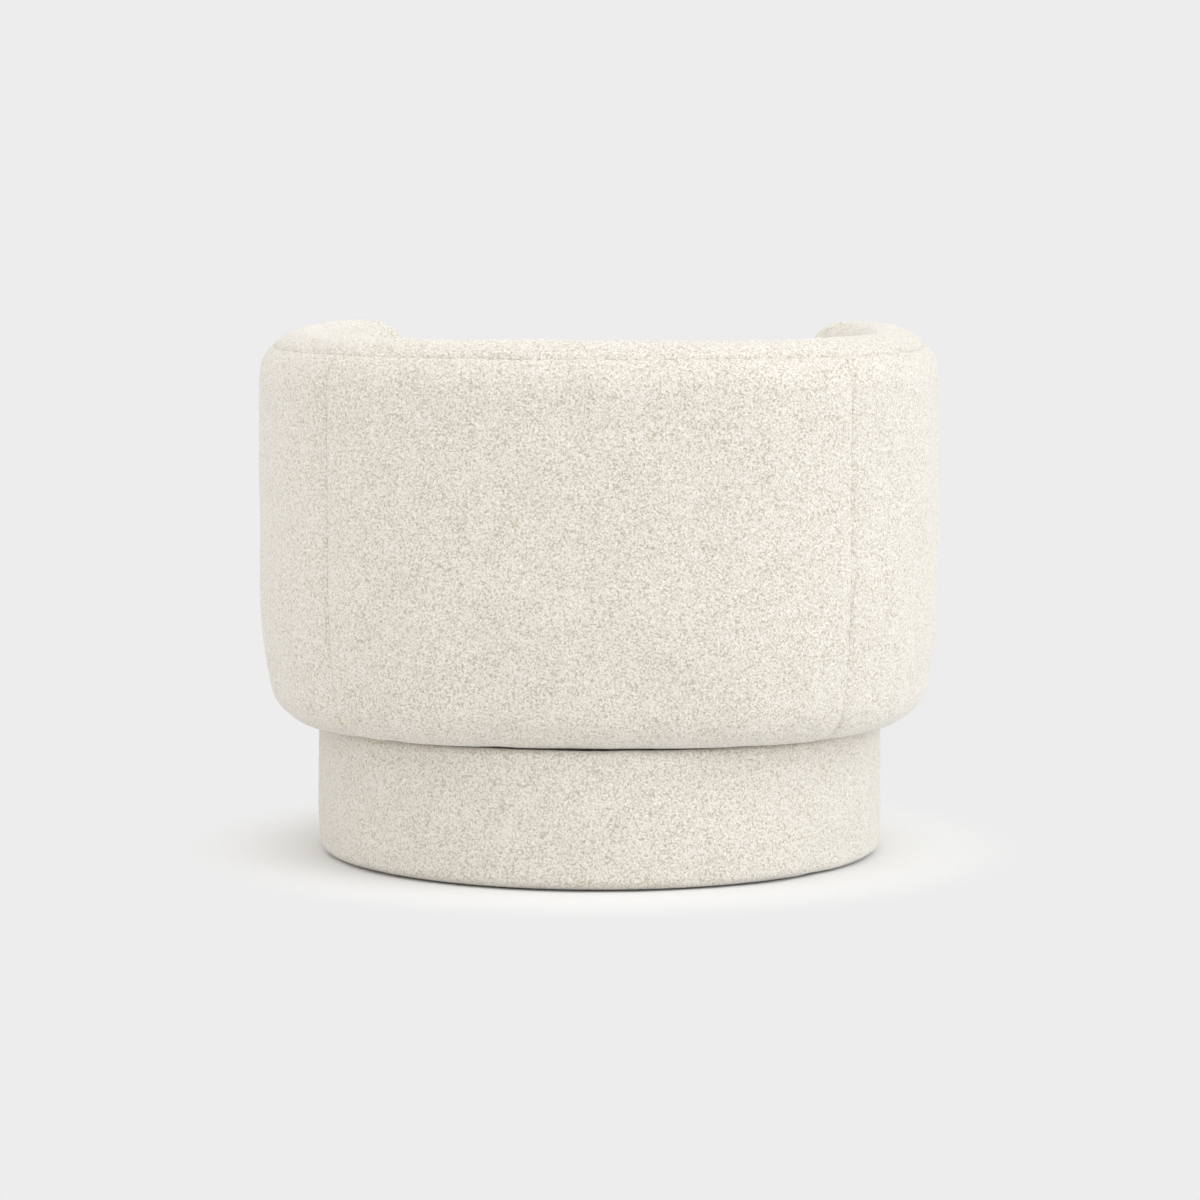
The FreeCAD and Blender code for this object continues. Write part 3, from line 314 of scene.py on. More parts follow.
def spaced(length, step, fine_first=True, fine_last=True):
    """Places along a length, closer together beside a seam."""
    edge = np.array(SEAM_ROWS)
    first = edge if fine_first else edge[:1]
    last = edge if fine_last else edge[:1]
    inner = length - first[-1] - last[-1]
    middle = first[-1] + np.linspace(0, inner, max(2, round(inner / step) + 1))
    return np.concatenate([first[:-1], middle, length - last[:-1][::-1]])


def turns_between(outline, first, last, step, inset=0.0, fine=(True, True)):
    """Turns of the mesh's columns from one angle to another."""
    dense = np.linspace(first, last, DENSE_TURNS)
    lengths = outline.length(dense, inset)
    lengths = lengths - lengths[0]
    return np.interp(spaced(lengths[-1], step, *fine), lengths, dense)


# Sections, with the distance inwards or outwards as x and the level as y

def section(steps):
    """Dense points of a section drawn with points and with arcs: centre, radius, first and last degree."""
    points = []
    for step in steps:
        if len(step) == 2:
            points.append(np.array([step], float))
            continue
        centre, radius, first, last = step
        angles = np.radians(np.linspace(first, last, ARC_POINTS))
        points.append(np.stack([centre[0] + radius * np.cos(angles), centre[1] + radius * np.sin(angles)], 1))
    points = np.concatenate(points)
    keep = np.r_[True, np.linalg.norm(np.diff(points, axis=0), axis=1) > SAME_PLACE]
    return points[keep]


def bow_centre(sizes):
    """Centre of the long arc that draws the shell's side in towards its foot."""
    return sizes.bow_radius, TUB_LOW + sizes.bow_rise


def inside_bow(sizes, radius, turn):
    """Centre of a smaller arc that touches the bow from inside, at a turn below the level."""
    reach, level = bow_centre(sizes)
    return reach - (reach - radius) * math.cos(turn), level - (reach - radius) * math.sin(turn)


def turn_at(sizes, radius, level):
    """Turn of the bow at which a smaller arc's centre comes to a level."""
    reach, start = bow_centre(sizes)
    return math.asin((start - level) / (reach - radius))


def foot_arcs(sizes, stop=0.0):
    """The flap, the bottom roll and the bowed side above it, upwards."""
    roll = sizes.bottom_roll
    turn = turn_at(sizes, roll, TUB_LOW + roll)
    centre = inside_bow(sizes, roll, turn)
    foot = 180 + math.degrees(turn)
    return [(centre[0] + sizes.flap, TUB_LOW), (centre, roll, 270, foot),
            (bow_centre(sizes), sizes.bow_radius, foot, 180 + math.degrees(stop))]


class Rows:
    """Rows of a mesh along a section: places, outward normals and distance from the start."""

    def __init__(self, steps, step, fine=(True, True), flip=False):
        points = section(steps)
        runs = np.linalg.norm(np.diff(points, axis=0), axis=1)
        lengths = np.r_[0, np.cumsum(runs)]
        self.along = spaced(lengths[-1], step, *fine)
        self.length = lengths[-1]
        before = np.clip(self.along - TANGENT_REACH, 0, self.length)
        after = np.clip(self.along + TANGENT_REACH, 0, self.length)
        self.x, self.z = (np.interp(self.along, lengths, points[:, k]) for k in (0, 1))
        tangent = np.stack([np.interp(after, lengths, points[:, k]) - np.interp(before, lengths, points[:, k])
                            for k in (0, 1)])
        tangent /= np.linalg.norm(tangent, axis=0)
        turn = -1 if flip else 1
        self.normal_x = -tangent[1] * turn
        self.normal_z = tangent[0] * turn


def wall_surface(outline, turns, rows):
    """Points and normals of a section carried round the outline."""
    turn = turns[None, :]
    x, y = outline.place(turn, rows.x[:, None])
    z = np.broadcast_to(rows.z[:, None], x.shape)
    points = np.stack([x, y, z], -1)
    inward = rows.normal_x[:, None]
    normals = np.stack([-inward * np.sin(turn), -inward * np.cos(turn),
                        np.broadcast_to(rows.normal_z[:, None], x.shape)], -1)
    return points, normals


def turned_surface(axis, turns, rows):
    """Points and normals of a section turned about an upright axis."""
    turn = turns[None, :]
    shape = (len(rows.x), len(turns))
    points = np.stack([axis[0] + rows.x[:, None] * np.sin(turn), axis[1] + rows.x[:, None] * np.cos(turn),
                       np.broadcast_to(rows.z[:, None], shape)], -1)
    outward = rows.normal_x[:, None]
    normals = np.stack([outward * np.sin(turn), outward * np.cos(turn),
                        np.broadcast_to(rows.normal_z[:, None], shape)], -1)
    return points, normals


# How the cover lies: wavelengths of its unevenness, and how far a seam is felt
WAVES = 22
HOLLOWS = (0.07, 0.19)
RISES = (0.017, 0.034)
RISES_SHARE = 0.28
GATHERS = (0.011, 0.024)
GATHERS_REACH = 0.012
SWELL_REACH = 0.035
CALM_REACH = 0.02
CALM_SHARE = 0.5
VALLEY_POWER = 1.5


def ripple(points, seed, band):
    """Unevenness with wavelengths in a band, about 1 high."""
    shortest, longest = band
    draw = np.random.default_rng(seed)
    total = np.zeros(points.shape[:-1])
    for _ in range(WAVES):
        direction = draw.normal(size=3)
        direction /= np.linalg.norm(direction)
        wavelength = shortest * (longest / shortest) ** draw.random()
        total += np.sin(points @ direction * math.tau / wavelength + draw.random() * math.tau)
    return total / math.sqrt(WAVES / 2)


def drape(points, seams, sewing, seed):
    """Height of the cover over its plain form: swelling, hollows, seam valleys and gathers."""
    nearest = np.min(seams, axis=0)
    swell = sewing.fullness * (1 - np.exp(-nearest / SWELL_REACH))
    slow = ripple(points, seed, HOLLOWS) * sewing.unevenness
    quick = ripple(points, seed + 1, RISES) * sewing.unevenness * RISES_SHARE
    gathers = ripple(points, seed + 2, GATHERS) * sewing.pucker * np.exp(-nearest / GATHERS_REACH)
    valley = sewing.seam_depth * np.exp(-(nearest / sewing.seam_width) ** VALLEY_POWER)
    return swell + (slow + quick) * (1 - CALM_SHARE * np.exp(-nearest / CALM_REACH)) + gathers - valley


# Meshes

def grid_faces(index):
    """Four-sided faces of a grid of vertex numbers."""
    return np.stack([index[:-1, :-1], index[:-1, 1:], index[1:, 1:], index[1:, :-1]], -1).reshape(-1, 4)


def shell_mesh(outer, normals, thickness, ring=False):
    """Vertices and faces of a closed cloth shell, with its outer side given as a grid."""
    inner = outer - normals * thickness
    points = np.concatenate([outer.reshape(-1, 3), inner.reshape(-1, 3)])
    count = outer.shape[0] * outer.shape[1]
    index = np.arange(count).reshape(outer.shape[:2])
    if ring:
        index = np.hstack([index, index[:, :1]])
    faces = [grid_faces(index), grid_faces(index)[:, ::-1] + count]
    rims = [index[0], index[-1]]
    if not ring:
        rims += [index[:, 0], index[:, -1]]
    for line in rims:
        faces.append(np.stack([line[:-1], line[1:], line[1:] + count, line[:-1] + count], -1))
    return points, np.concatenate(faces)


def add_object(name, data):
    """An object of the scene that shows some data."""
    piece = bpy.data.objects.new(name, data)
    bpy.context.scene.collection.objects.link(piece)
    return piece


def add_mesh(name, points, faces, merge=0.0):
    """An object from vertices and faces, smooth, with its faces turned outwards."""
    mesh = bpy.data.meshes.new(name)
    mesh.from_pydata(np.asarray(points).tolist(), [], [list(face) for face in faces])
    work = bmesh.new()
    work.from_mesh(mesh)
    if merge:
        bmesh.ops.remove_doubles(work, verts=work.verts, dist=merge)
    bmesh.ops.recalc_face_normals(work, faces=work.faces)
    work.to_mesh(mesh)
    work.free()
    mesh.shade_smooth()
    return add_object(name, mesh)


def dress(piece, body, stands_for, material):
    """Gives a piece its body, its finish and the nodes that it stands for."""
    piece.data.materials.clear()
    piece.data.materials.append(material)
    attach(piece, body)
    if stands_for:
        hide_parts(*stands_for)
    return piece


def evaluated_mesh(piece):
    """The mesh of a piece with its modifiers applied."""
    graph = bpy.context.evaluated_depsgraph_get()
    return bpy.data.meshes.new_from_object(piece.evaluated_get(graph))


def apply_modifiers(piece):
    """Makes what a piece's modifiers show its mesh."""
    mesh = evaluated_mesh(piece)
    piece.modifiers.clear()
    piece.data = mesh
    mesh.name = piece.name
    mesh.shade_smooth()


def mesh_points(mesh):
    """The vertices of a mesh as an array."""
    points = np.zeros(len(mesh.vertices) * 3)
    mesh.vertices.foreach_get("co", points)
    return points.reshape(-1, 3)


def mesh_normals(mesh):
    """The vertex normals of a mesh as an array."""
    normals = np.zeros(len(mesh.vertices) * 3)
    mesh.vertex_normals.foreach_get("vector", normals)
    return normals.reshape(-1, 3)


def set_points(mesh, points):
    """Moves the vertices of a mesh."""
    mesh.vertices.foreach_set("co", np.asarray(points, np.float32).ravel())
    mesh.update()


def remeshed(name, node, voxel):
    """A copy of a node of the frame, remeshed evenly."""
    piece = add_object(name, frame["nodes"][node].data.copy())
    remesh = piece.modifiers.new("remesh", "REMESH")
    remesh.mode = "VOXEL"
    remesh.voxel_size = voxel
    apply_modifiers(piece)
    return piece


def soften(piece, rounds):
    """Softens the edges of a remeshed piece."""
    smooth = piece.modifiers.new("soften", "SMOOTH")
    smooth.iterations = rounds
    smooth.factor = 0.5
    apply_modifiers(piece)


# Finishes

FINISH = "chair_"
BOUCLE = "boucle"


class Nodes:
    """A material's nodes, added and linked one by one."""

    def __init__(self, name):
        self.material = bpy.data.materials.new(FINISH + name)
        self.material.use_nodes = True
        self.tree = self.material.node_tree
        self.shader = self.tree.nodes["Principled BSDF"]
        self.place = self.add("ShaderNodeTexCoord").outputs["Object"]

    def add(self, kind, **values):
        """A node with its settings and its unlinked inputs."""
        node = self.tree.nodes.new(kind)
        for key, value in values.items():
            if key.startswith("set_"):
                setattr(node, key[4:], value)
            else:
                self.give(node.inputs[key.replace("_", " ")], value)
        return node

    def give(self, socket, value):
        """Links or sets an input."""
        if isinstance(value, bpy.types.NodeSocket):
            self.tree.links.new(value, socket)
        else:
            socket.default_value = value

    def operate(self, kind, operation, *values):
        """A node of sums with its operation, and its inputs in order."""
        node = self.add(kind, set_operation=operation)
        for socket, value in zip(node.inputs, values):
            self.give(socket, value)
        return node

    def math(self, operation, *values):
        """The result of an operation on numbers."""
        return self.operate("ShaderNodeMath", operation, *values).outputs[0]

    def total(self, *shares):
        """The sum of values, each with its share."""
        parts = [self.math("MULTIPLY", value, share) for value, share in shares]
        return self.math("ADD", *parts)

    def shift(self, vector, colour, amount):
        """Places moved by a colour about its middle."""
        centred = self.operate("ShaderNodeVectorMath", "SUBTRACT", colour, (0.5, 0.5, 0.5)).outputs[0]
        return self.operate("ShaderNodeVectorMath", "MULTIPLY_ADD", centred, (amount,) * 3, vector).outputs[0]

    def scaled(self, vector, scale):
        """Places stretched along the axes."""
        return self.operate("ShaderNodeVectorMath", "MULTIPLY", vector, scale).outputs[0]

    def noise(self, vector, scale, detail, distortion=0.0):
        """Noise at a number of waves to the metre."""
        return self.add("ShaderNodeTexNoise", Vector=vector, Scale=scale, Detail=detail,
                        Distortion=distortion)

    def ramp(self, value, stops):
        """Colours over a value."""
        node = self.add("ShaderNodeValToRGB")
        self.give(node.inputs[0], value)
        band = node.color_ramp
        while len(band.elements) < len(stops):
            band.elements.new(1.0)
        for element, (place, colour) in zip(band.elements, stops):
            element.position = place
            element.color = (*colour, 1.0)
        return node.outputs[0]

    def bump(self, height, distance):
        """Relief of a height between 0 and 1."""
        return self.add("ShaderNodeBump", Height=height, Distance=distance, Strength=1.0).outputs[0]

    def finish(self, colour, roughness, normal, **values):
        """Sets the shader's inputs and gives the material."""
        self.give(self.shader.inputs["Base Color"], colour)
        self.give(self.shader.inputs["Roughness"], roughness)
        if normal is not None:
            self.give(self.shader.inputs["Normal"], normal)
        for key, value in values.items():
            self.give(self.shader.inputs[key.replace("_", " ")], value)
        return self.material


def mixed(first, second, share):
    """A colour between two others."""
    return tuple(a + (b - a) * share for a, b in zip(first, second))


def boucle_material(finish):
    """Looped wool yarn: round nubs and curls, with painted shade, darker and warmer, between them and a
    painted highlight on their tops.
    """
    make = Nodes(BOUCLE)
    loops = 1 / finish.loop_size
    warp = make.noise(make.place, loops * 0.5, 2.0)
    bent = make.shift(make.place, warp.outputs["Color"], finish.loop_size * 1.2)
    nubs = make.add("ShaderNodeTexVoronoi", set_feature="F1", Vector=bent, Scale=loops)
    nub = make.math("SUBTRACT", 1.0, nubs.outputs["Distance"])
    curls = make.noise(bent, loops * 1.15, 1.0, 1.4)
    height = make.total((nub, 0.40), (curls.outputs["Fac"], 0.80))
    cloud = make.noise(make.place, 30.0, 3.0)
    drift = make.math("MULTIPLY", make.math("SUBTRACT", cloud.outputs["Fac"], 0.5), 0.08)
    tone = make.math("ADD", height, drift)
    loop = tuple(finish.loop_colour)
    crease_shade = tuple(finish.crease_shade_colour)
    # Painted highlight: the loop colour lightened towards white for the tops of the loops.
    light = mixed(loop, (1.0, 1.0, 1.0), 0.40)
    # By height: painted shade in the hollows, the loop colour, then the painted highlight on the highest
    # loops.
    colour = make.ramp(tone, [
        (0.40, crease_shade), (0.54, mixed(crease_shade, loop, 0.62)), (0.66, loop), (0.84, light)])
    relief = make.bump(height, finish.loop_height)
    return make.finish(colour, 0.93, relief, Sheen_Weight=finish.fuzz, Sheen_Roughness=0.5,
                       Specular_IOR_Level=0.12)


def boards_material(name, light, dark, grain, stretch):
    """Timber: long grain with fine pores."""
    make = Nodes(name)
    place = make.scaled(make.place, stretch)
    warp = make.noise(place, grain * 0.25, 2.0)
    bent = make.shift(place, warp.outputs["Color"], 0.02)
    rings = make.noise(bent, grain, 4.0, 0.6)
    pores = make.noise(make.scaled(make.place, tuple(2.2 * s for s in stretch)), grain * 5, 2.0)
    tone = make.total((rings.outputs["Fac"], 0.75), (pores.outputs["Fac"], 0.25))
    colour = make.ramp(tone, [(0.32, dark), (0.52, mixed(dark, light, 0.6)), (0.68, light)])
    return make.finish(colour, 0.62, make.bump(tone, 0.0004), Specular_IOR_Level=0.35)


def foam_material(name):
    """Cut polyurethane foam: fine open cells."""
    make = Nodes(name)
    cells = make.add("ShaderNodeTexVoronoi", set_feature="F1", Vector=make.place, Scale=900.0)
    cloud = make.noise(make.place, 18.0, 3.0)
    tone = make.total((cells.outputs["Distance"], 0.6), (cloud.outputs["Fac"], 0.4))
    colour = make.ramp(tone, [(0.2, (0.72, 0.66, 0.44)), (0.6, (0.84, 0.79, 0.60))])
    return make.finish(colour, 0.95, make.bump(cells.outputs["Distance"], 0.0006), Specular_IOR_Level=0.1)


def woven_material(name, light, dark, threads, relief):
    """Plain weave with threads along X and Y."""
    make = Nodes(name)
    warp = make.noise(make.place, threads * 0.3, 2.0)
    bent = make.shift(make.place, warp.outputs["Color"], 0.25 / threads)
    waves = []
    for direction in ("X", "Y"):
        wave = make.add("ShaderNodeTexWave", set_wave_type="BANDS", set_bands_direction=direction,
                        Vector=bent, Scale=threads / 3.2, Distortion=0.6, Detail=1.0)
        waves.append(wave.outputs["Fac"])
    weave = make.math("MULTIPLY", make.math("ADD", waves[0], waves[1]), 0.5)
    cloud = make.noise(make.place, 40.0, 3.0)
    tone = make.total((weave, 0.75), (cloud.outputs["Fac"], 0.25))
    colour = make.ramp(tone, [(0.2, dark), (0.7, light)])
    return make.finish(colour, 0.9, make.bump(weave, relief), Specular_IOR_Level=0.15)


def metal_material(name, tone, roughness, brushed):
    """Zinc-plated or polished steel."""
    make = Nodes(name)
    marks = make.noise(make.scaled(make.place, brushed), 300.0, 3.0)
    cloud = make.noise(make.place, 22.0, 3.0)
    mix = make.total((marks.outputs["Fac"], 0.6), (cloud.outputs["Fac"], 0.4))
    colour = make.ramp(mix, [(0.3, mixed(tone, (0, 0, 0), 0.22)), (0.7, tone)])
    rough = make.math("MULTIPLY", mix, roughness * 2)
    return make.finish(colour, rough, make.bump(marks.outputs["Fac"], 0.00006), Metallic=1.0)


def plastic_material(name, tone):
    """Moulded nylon."""
    make = Nodes(name)
    grain = make.noise(make.place, 1400.0, 2.0)
    cloud = make.noise(make.place, 30.0, 2.0)
    colour = make.ramp(cloud.outputs["Fac"], [(0.3, mixed(tone, (0, 0, 0), 0.12)), (0.7, tone)])
    return make.finish(colour, 0.42, make.bump(grain.outputs["Fac"], 0.00008), Specular_IOR_Level=0.45)


# Each finish's maker, with its colours and its grain
FINISHES = {
    "foam": (foam_material,),
    "timber": (boards_material, (0.66, 0.50, 0.31), (0.42, 0.28, 0.15), 26.0, (1, 0.12, 1)),
    "bending_board": (boards_material, (0.52, 0.37, 0.22), (0.33, 0.21, 0.11), 34.0, (1, 1, 0.1)),
    "dust_cloth": (woven_material, (0.055, 0.055, 0.06), (0.02, 0.02, 0.022), 900.0, 0.0002),
    "hessian": (woven_material, (0.55, 0.40, 0.22), (0.20, 0.13, 0.06), 420.0, 0.0008),
    "zip_tape": (woven_material, (0.74, 0.70, 0.62), (0.50, 0.46, 0.39), 1400.0, 0.0002),
    "steel": (metal_material, (0.72, 0.73, 0.74), 0.28, (1, 1, 0.1)),
    "nylon": (plastic_material, (0.06, 0.06, 0.065)),
}


def material(name):
    """A finish by name, made the first time that it is asked for."""
    found = bpy.data.materials.get(FINISH + name)
    if found is not None:
        return found
    if name == BOUCLE:
        return boucle_material(settings()[2])
    make, *looks = FINISHES[name]
    return make(name, *looks)


# Pieces of the shell's cover

TUB = "tub"
COVER_SEED = 1
PLINTH_SEED = 81
FLAP_SEED = 71
# Tuck at the foot of an upright seam: its depth, height and width
NOTCH_DEPTH = 0.0030
NOTCH_HEIGHT = 0.022
NOTCH_WIDTH = 0.016
# The top roll's crown: how far round and how far down it is felt
CROWN_SPREAD = 0.9
CROWN_DROP = 0.15
# Scallops of the stapled flap, and the most that the flap leaves its plane
SCALLOP = 0.0009
SCALLOP_BAND = (0.06, 0.16)
SCALLOP_REACH = 0.020
STAPLED = (-0.0006, 0.0004)
# Clearances of the cover at the seat deck
DECK_TUCK = 0.0024
ARM_END_CLEAR = 0.0006
# The plinth's padded rim: its place inwards and its width
RIM_INSET = 0.009
RIM_WIDTH = 0.016
PLINTH_TOP_CALM = 0.7
PLINTH_FOOT = (-0.0010, 0.0002)


def seam_table(shape, *distances):
    """Distances to each seam, one layer for each."""
    return np.stack([np.broadcast_to(distance, shape) for distance in distances])


def bottom_notch(points, seam_distance):
    """Extra tuck where an upright seam meets the underside."""
    low = np.exp(-np.clip(points[..., 2] - TUB_LOW, 0, None) / NOTCH_HEIGHT)
    return NOTCH_DEPTH * low * np.exp(-(seam_distance / NOTCH_WIDTH) ** 2)


def crowned(points, turns, sewing):
    """Rise of the top roll over the middle of the back."""
    along = np.cos(np.clip(turns * CROWN_SPREAD, -math.pi / 2, math.pi / 2)) ** 2
    up = np.clip((points[..., 2] - TUB_TOP + CROWN_DROP) / CROWN_DROP, 0, 1)
    return sewing.crown * along[None, :] * up * up * (3 - 2 * up)


def flap_pull(points):
    """Slight scallops where the cover is stapled under the shell."""
    low = np.exp(-np.clip(points[..., 2] - TUB_LOW, 0, None) / SCALLOP_REACH)
    flat = points * [1.0, 1.0, 0.0]
    return SCALLOP * low * ripple(flat, FLAP_SEED, SCALLOP_BAND)


def flat_under(rise, normals):
    """The cover's height, evened out where it is stapled flat under the shell."""
    under = np.clip(-normals[..., 2], 0, 1) ** 4
    return rise * (1 - under) + np.clip(rise, *STAPLED) * under


def outer_side(points, normals, rows, sides, sewing):
    """The outer side of a panel that ends in a flap below and a seam above."""
    seams = seam_table(points.shape[:2], (rows.length - rows.along)[:, None], *sides)
    rise = drape(points, seams, sewing, COVER_SEED)
    rise += flap_pull(points)
    for side in sides:
        rise -= bottom_notch(points, side)
    return points + normals * flat_under(rise, normals)[..., None]


def top_roll(sizes):
    """The top roll's radius, its centre in the section and the long seam's degree on it."""
    roll = sizes.wall / 2
    return roll, (roll, TUB_TOP - roll), 180 - math.degrees(sizes.top_seam)


def cover(name, outer, normals, sizes, stands_for, body=TUB, mirror=(1, 1, 1), ring=False, merge=0.0):
    """A padded piece of the cover from its outer side."""
    piece = add_mesh(name, *shell_mesh(outer * mirror, normals * mirror, sizes.cloth, ring), merge)
    return dress(piece, body, [stands_for], material(BOUCLE))


def outside_panel(name, first, last, seams_at, outline, sizes, sewing, stands_for):
    """A panel of the outer cover, from the flap under the shell to the seam on the top roll."""
    roll, centre, top = top_roll(sizes)
    rows = Rows(foot_arcs(sizes) + [(centre, roll, 180, top)], sewing.grid, (False, True))
    turns = turns_between(outline, first, last, sewing.grid)
    points, normals = wall_surface(outline, turns, rows)
    points[..., 2] += crowned(points, turns, sewing)
    lengths = outline.length(turns)[None, :]
    sides = [np.abs(lengths - outline.length(seam)) for seam in seams_at]
    outer = outer_side(points, normals, rows, sides, sewing)
    return cover(name, outer, normals, sizes, stands_for)


def inside_panel(outline, sizes, sewing):
    """The inner cover: over the top roll and down inside to the seat deck."""
    roll, centre, top = top_roll(sizes)
    rows = Rows([(centre, roll, top, 0), (sizes.wall, DECK_TOP - DECK_TUCK)], sewing.grid, (True, False))
    turns = turns_between(outline, -sizes.arm_end, sizes.arm_end, sewing.grid, roll)
    points, normals = wall_surface(outline, turns, rows)
    points[..., 2] += crowned(points, turns, sewing)
    lengths = outline.length(turns, roll)[None, :]
    end = outline.length(sizes.arm_end, roll)
    seams = seam_table(points.shape[:2], rows.along[:, None], end - lengths, lengths + end)
    outer = points + normals * drape(points, seams, sewing, COVER_SEED)[..., None]
    return cover("inside_panel", outer, normals, sizes, "inside_cover")


def apron_panel(outline, sizes, sewing):
    """The front apron's cover, below the cushion."""
    edge = sizes.apron_roll
    stop = turn_at(sizes, edge, DECK_TOP - edge)
    rows = Rows(foot_arcs(sizes, stop) + [
        (inside_bow(sizes, edge, stop), edge, 180 + math.degrees(stop), 90), (2 * edge, DECK_TOP)],
        sewing.grid, (False, True))
    turns = turns_between(outline, sizes.arm_end, math.tau - sizes.arm_end, sewing.grid)
    points, normals = wall_surface(outline, turns, rows)
    lengths = outline.length(turns)[None, :]
    first = outline.length(sizes.arm_end)
    last = outline.length(math.tau - sizes.arm_end)
    outer = outer_side(points, normals, rows, [lengths - first, last - lengths], sewing)
    return cover("apron_panel", outer, normals, sizes, "front_apron_cover")


def arm_end_panel(name, side, outline, sizes, sewing, stands_for):
    """The rounded end of one arm, from the apron to the dome over it."""
    roll, (_, level), _ = top_roll(sizes)
    rows = Rows([(roll, DECK_TOP + ARM_END_CLEAR), ((0.0, level), roll, 0, 90)],
                sewing.grid, (True, False), flip=True)
    around = spaced(math.pi * roll, sewing.grid) / roll
    axis = np.array([float(value) for value in outline.place(sizes.arm_end, roll)])
    points, normals = turned_surface(axis, sizes.arm_end + around, rows)
    ahead = np.array([math.sin(sizes.arm_end + math.pi / 2), math.cos(sizes.arm_end + math.pi / 2)])
    distance = (points[..., :2] - axis) @ ahead
    seams = seam_table(points.shape[:2], np.abs(distance), rows.along[:, None])
    outer = points + normals * drape(points, seams, sewing, COVER_SEED)[..., None]
    return cover(name, outer, normals, sizes, stands_for, mirror=(side, 1, 1), merge=0.0002)


def plinth_panel(sizes, sewing):
    """The plinth's cover, turned over its top edge and under its foot."""
    low = low_of("plinth_cover")
    top = high_of("plinth_cover")
    radius, edge, foot = PLINTH_RADIUS, sizes.plinth_edge, sizes.plinth_foot_edge
    rows = Rows([
        (radius - sizes.plinth_foot_return, low), ((radius - foot, low + foot), foot, -90, 0),
        ((radius - edge, top - edge), edge, 0, 90), (radius - sizes.plinth_top_return, top)],
        sewing.grid, (False, False), flip=True)
    count = round(math.tau * radius / sewing.grid / 2) * 2
    turns = np.linspace(0, math.tau, count, endpoint=False)
    points, normals = turned_surface((0.0, 0.0), turns, rows)
    seam = radius * np.abs(np.abs((turns + math.pi) % math.tau - math.pi) - math.pi / 2)
    seams = seam_table(points.shape[:2], seam[None, :])
    rise = drape(points, seams, sewing, PLINTH_SEED)
    reach = np.linalg.norm(points[..., :2], axis=-1)
    on_top = np.clip(normals[..., 2], 0, 1)
    rim = on_top * np.exp(-((reach - radius + RIM_INSET) / RIM_WIDTH) ** 2)
    rise = rise * (1 - PLINTH_TOP_CALM * on_top) + sewing.rim * rim
    rise = np.where(points[..., 2] < low + foot / 2, np.clip(rise, *PLINTH_FOOT), rise)
    outer = points + normals * rise[..., None]
    return cover("plinth_panel", outer, normals, sizes, "plinth_cover", "plinth", ring=True)


# Flat cloths

def cloth_loop(xs, ys):
    """A closed loop of points."""
    return np.stack([xs, ys], 1)


def circle_loop(radius, centre=(0.0, 0.0), count=48):
    """A circle as a loop of points."""
    turns = np.linspace(0, math.tau, count, endpoint=False)
    return cloth_loop(centre[0] + radius * np.cos(turns), centre[1] + radius * np.sin(turns))


def inside_loop(points, loop):
    """Which points lie inside a closed loop."""
    x, y = points[:, 0][:, None], points[:, 1][:, None]
    x0, y0 = loop[:, 0][None], loop[:, 1][None]
    x1, y1 = np.roll(loop, -1, 0)[:, 0][None], np.roll(loop, -1, 0)[:, 1][None]
    crosses = ((y0 > y) != (y1 > y)) & (x < (x1 - x0) * (y - y0) / np.where(y1 == y0, 1e-12, y1 - y0) + x0)
    return crosses.sum(1) % 2 == 1


def gap_to_loop(points, loop):
    """Distance from points to a loop's own points."""
    return np.min(np.linalg.norm(points[:, None] - loop[None], axis=2), axis=1)


CLEAR_OF_EDGE = 0.6
SLACK = 0.0004
SLACK_BAND = (0.05, 0.14)


def slack(seed):
    """A stretched cloth's slight unevenness."""
    return lambda flat: SLACK * ripple(np.column_stack([flat, flat[:, 0] * 0]), seed, SLACK_BAND)


def level_cloth(flat):
    """No unevenness."""
    return flat[:, 0] * 0


def flat_cloth(name, outer, holes, level, thickness, step, rise):
    """A cloth cut to a loop with holes, as a closed thin shell. rise gives its height at each point."""
    low, high = outer.min(0), outer.max(0)
    columns = np.arange(low[0] + step / 2, high[0], step)
    lines = np.arange(low[1] + step / 2, high[1], step)
    spread = np.stack(np.meshgrid(columns, lines), -1).reshape(-1, 2)
    keep = inside_loop(spread, outer) & (gap_to_loop(spread, outer) > step * CLEAR_OF_EDGE)
    for hole in holes:
        keep &= ~inside_loop(spread, hole) & (gap_to_loop(spread, hole) > step * CLEAR_OF_EDGE)
    loops = [outer, *holes]
    corners = np.concatenate([*loops, spread[keep]])
    edges = []
    start = 0
    for loop in loops:
        count = len(loop)
        edges += [(start + k, start + (k + 1) % count) for k in range(count)]
        start += count
    found = delaunay_2d_cdt([Vector(corner) for corner in corners.tolist()], edges, [], 2, 1e-6)
    flat = np.array([list(corner) for corner in found[0]])
    triangles = [list(face) for face in found[2]]
    heights = level + rise(flat)
    count = len(flat)
    top = np.column_stack([flat, heights + thickness / 2])
    under = np.column_stack([flat, heights - thickness / 2])
    sides = {}
    for face in triangles:
        for first, second in zip(face, face[1:] + face[:1]):
            key = (min(first, second), max(first, second))
            sides[key] = None if key in sides else (first, second)
    faces = triangles + [[k + count for k in reversed(face)] for face in triangles]
    for pair in sides.values():
        if pair is not None:
            first, second = pair
            faces.append([second, first, first + count, second + count])
    first, second, third = (flat[[face[k] for face in triangles]] for k in range(3))
    area = float(np.abs(np.cross(second - first, third - first)).sum() / 2)
    return add_mesh(name, np.concatenate([top, under]), faces), area


def lay_cloth(name, outer, holes, node, body, slot, step, rise):
    """A flat cloth in the place of a node of the frame."""
    low, high = low_of(node), high_of(node)
    piece, area = flat_cloth(name, outer, holes, (low + high) / 2, high - low, step, rise)
    dress(piece, body, [node], material(slot))
    return piece


# Cushion

CUSHION = "seat_cushion"
# How full the case and its core are, and how far the plain, top and lower sides swell
PLAIN_SWELL = 0.0016
TOP_SINK = -0.004
FOOT_SWELL = (-0.0022, 0.003)
CORE_CLEAR = 0.0030
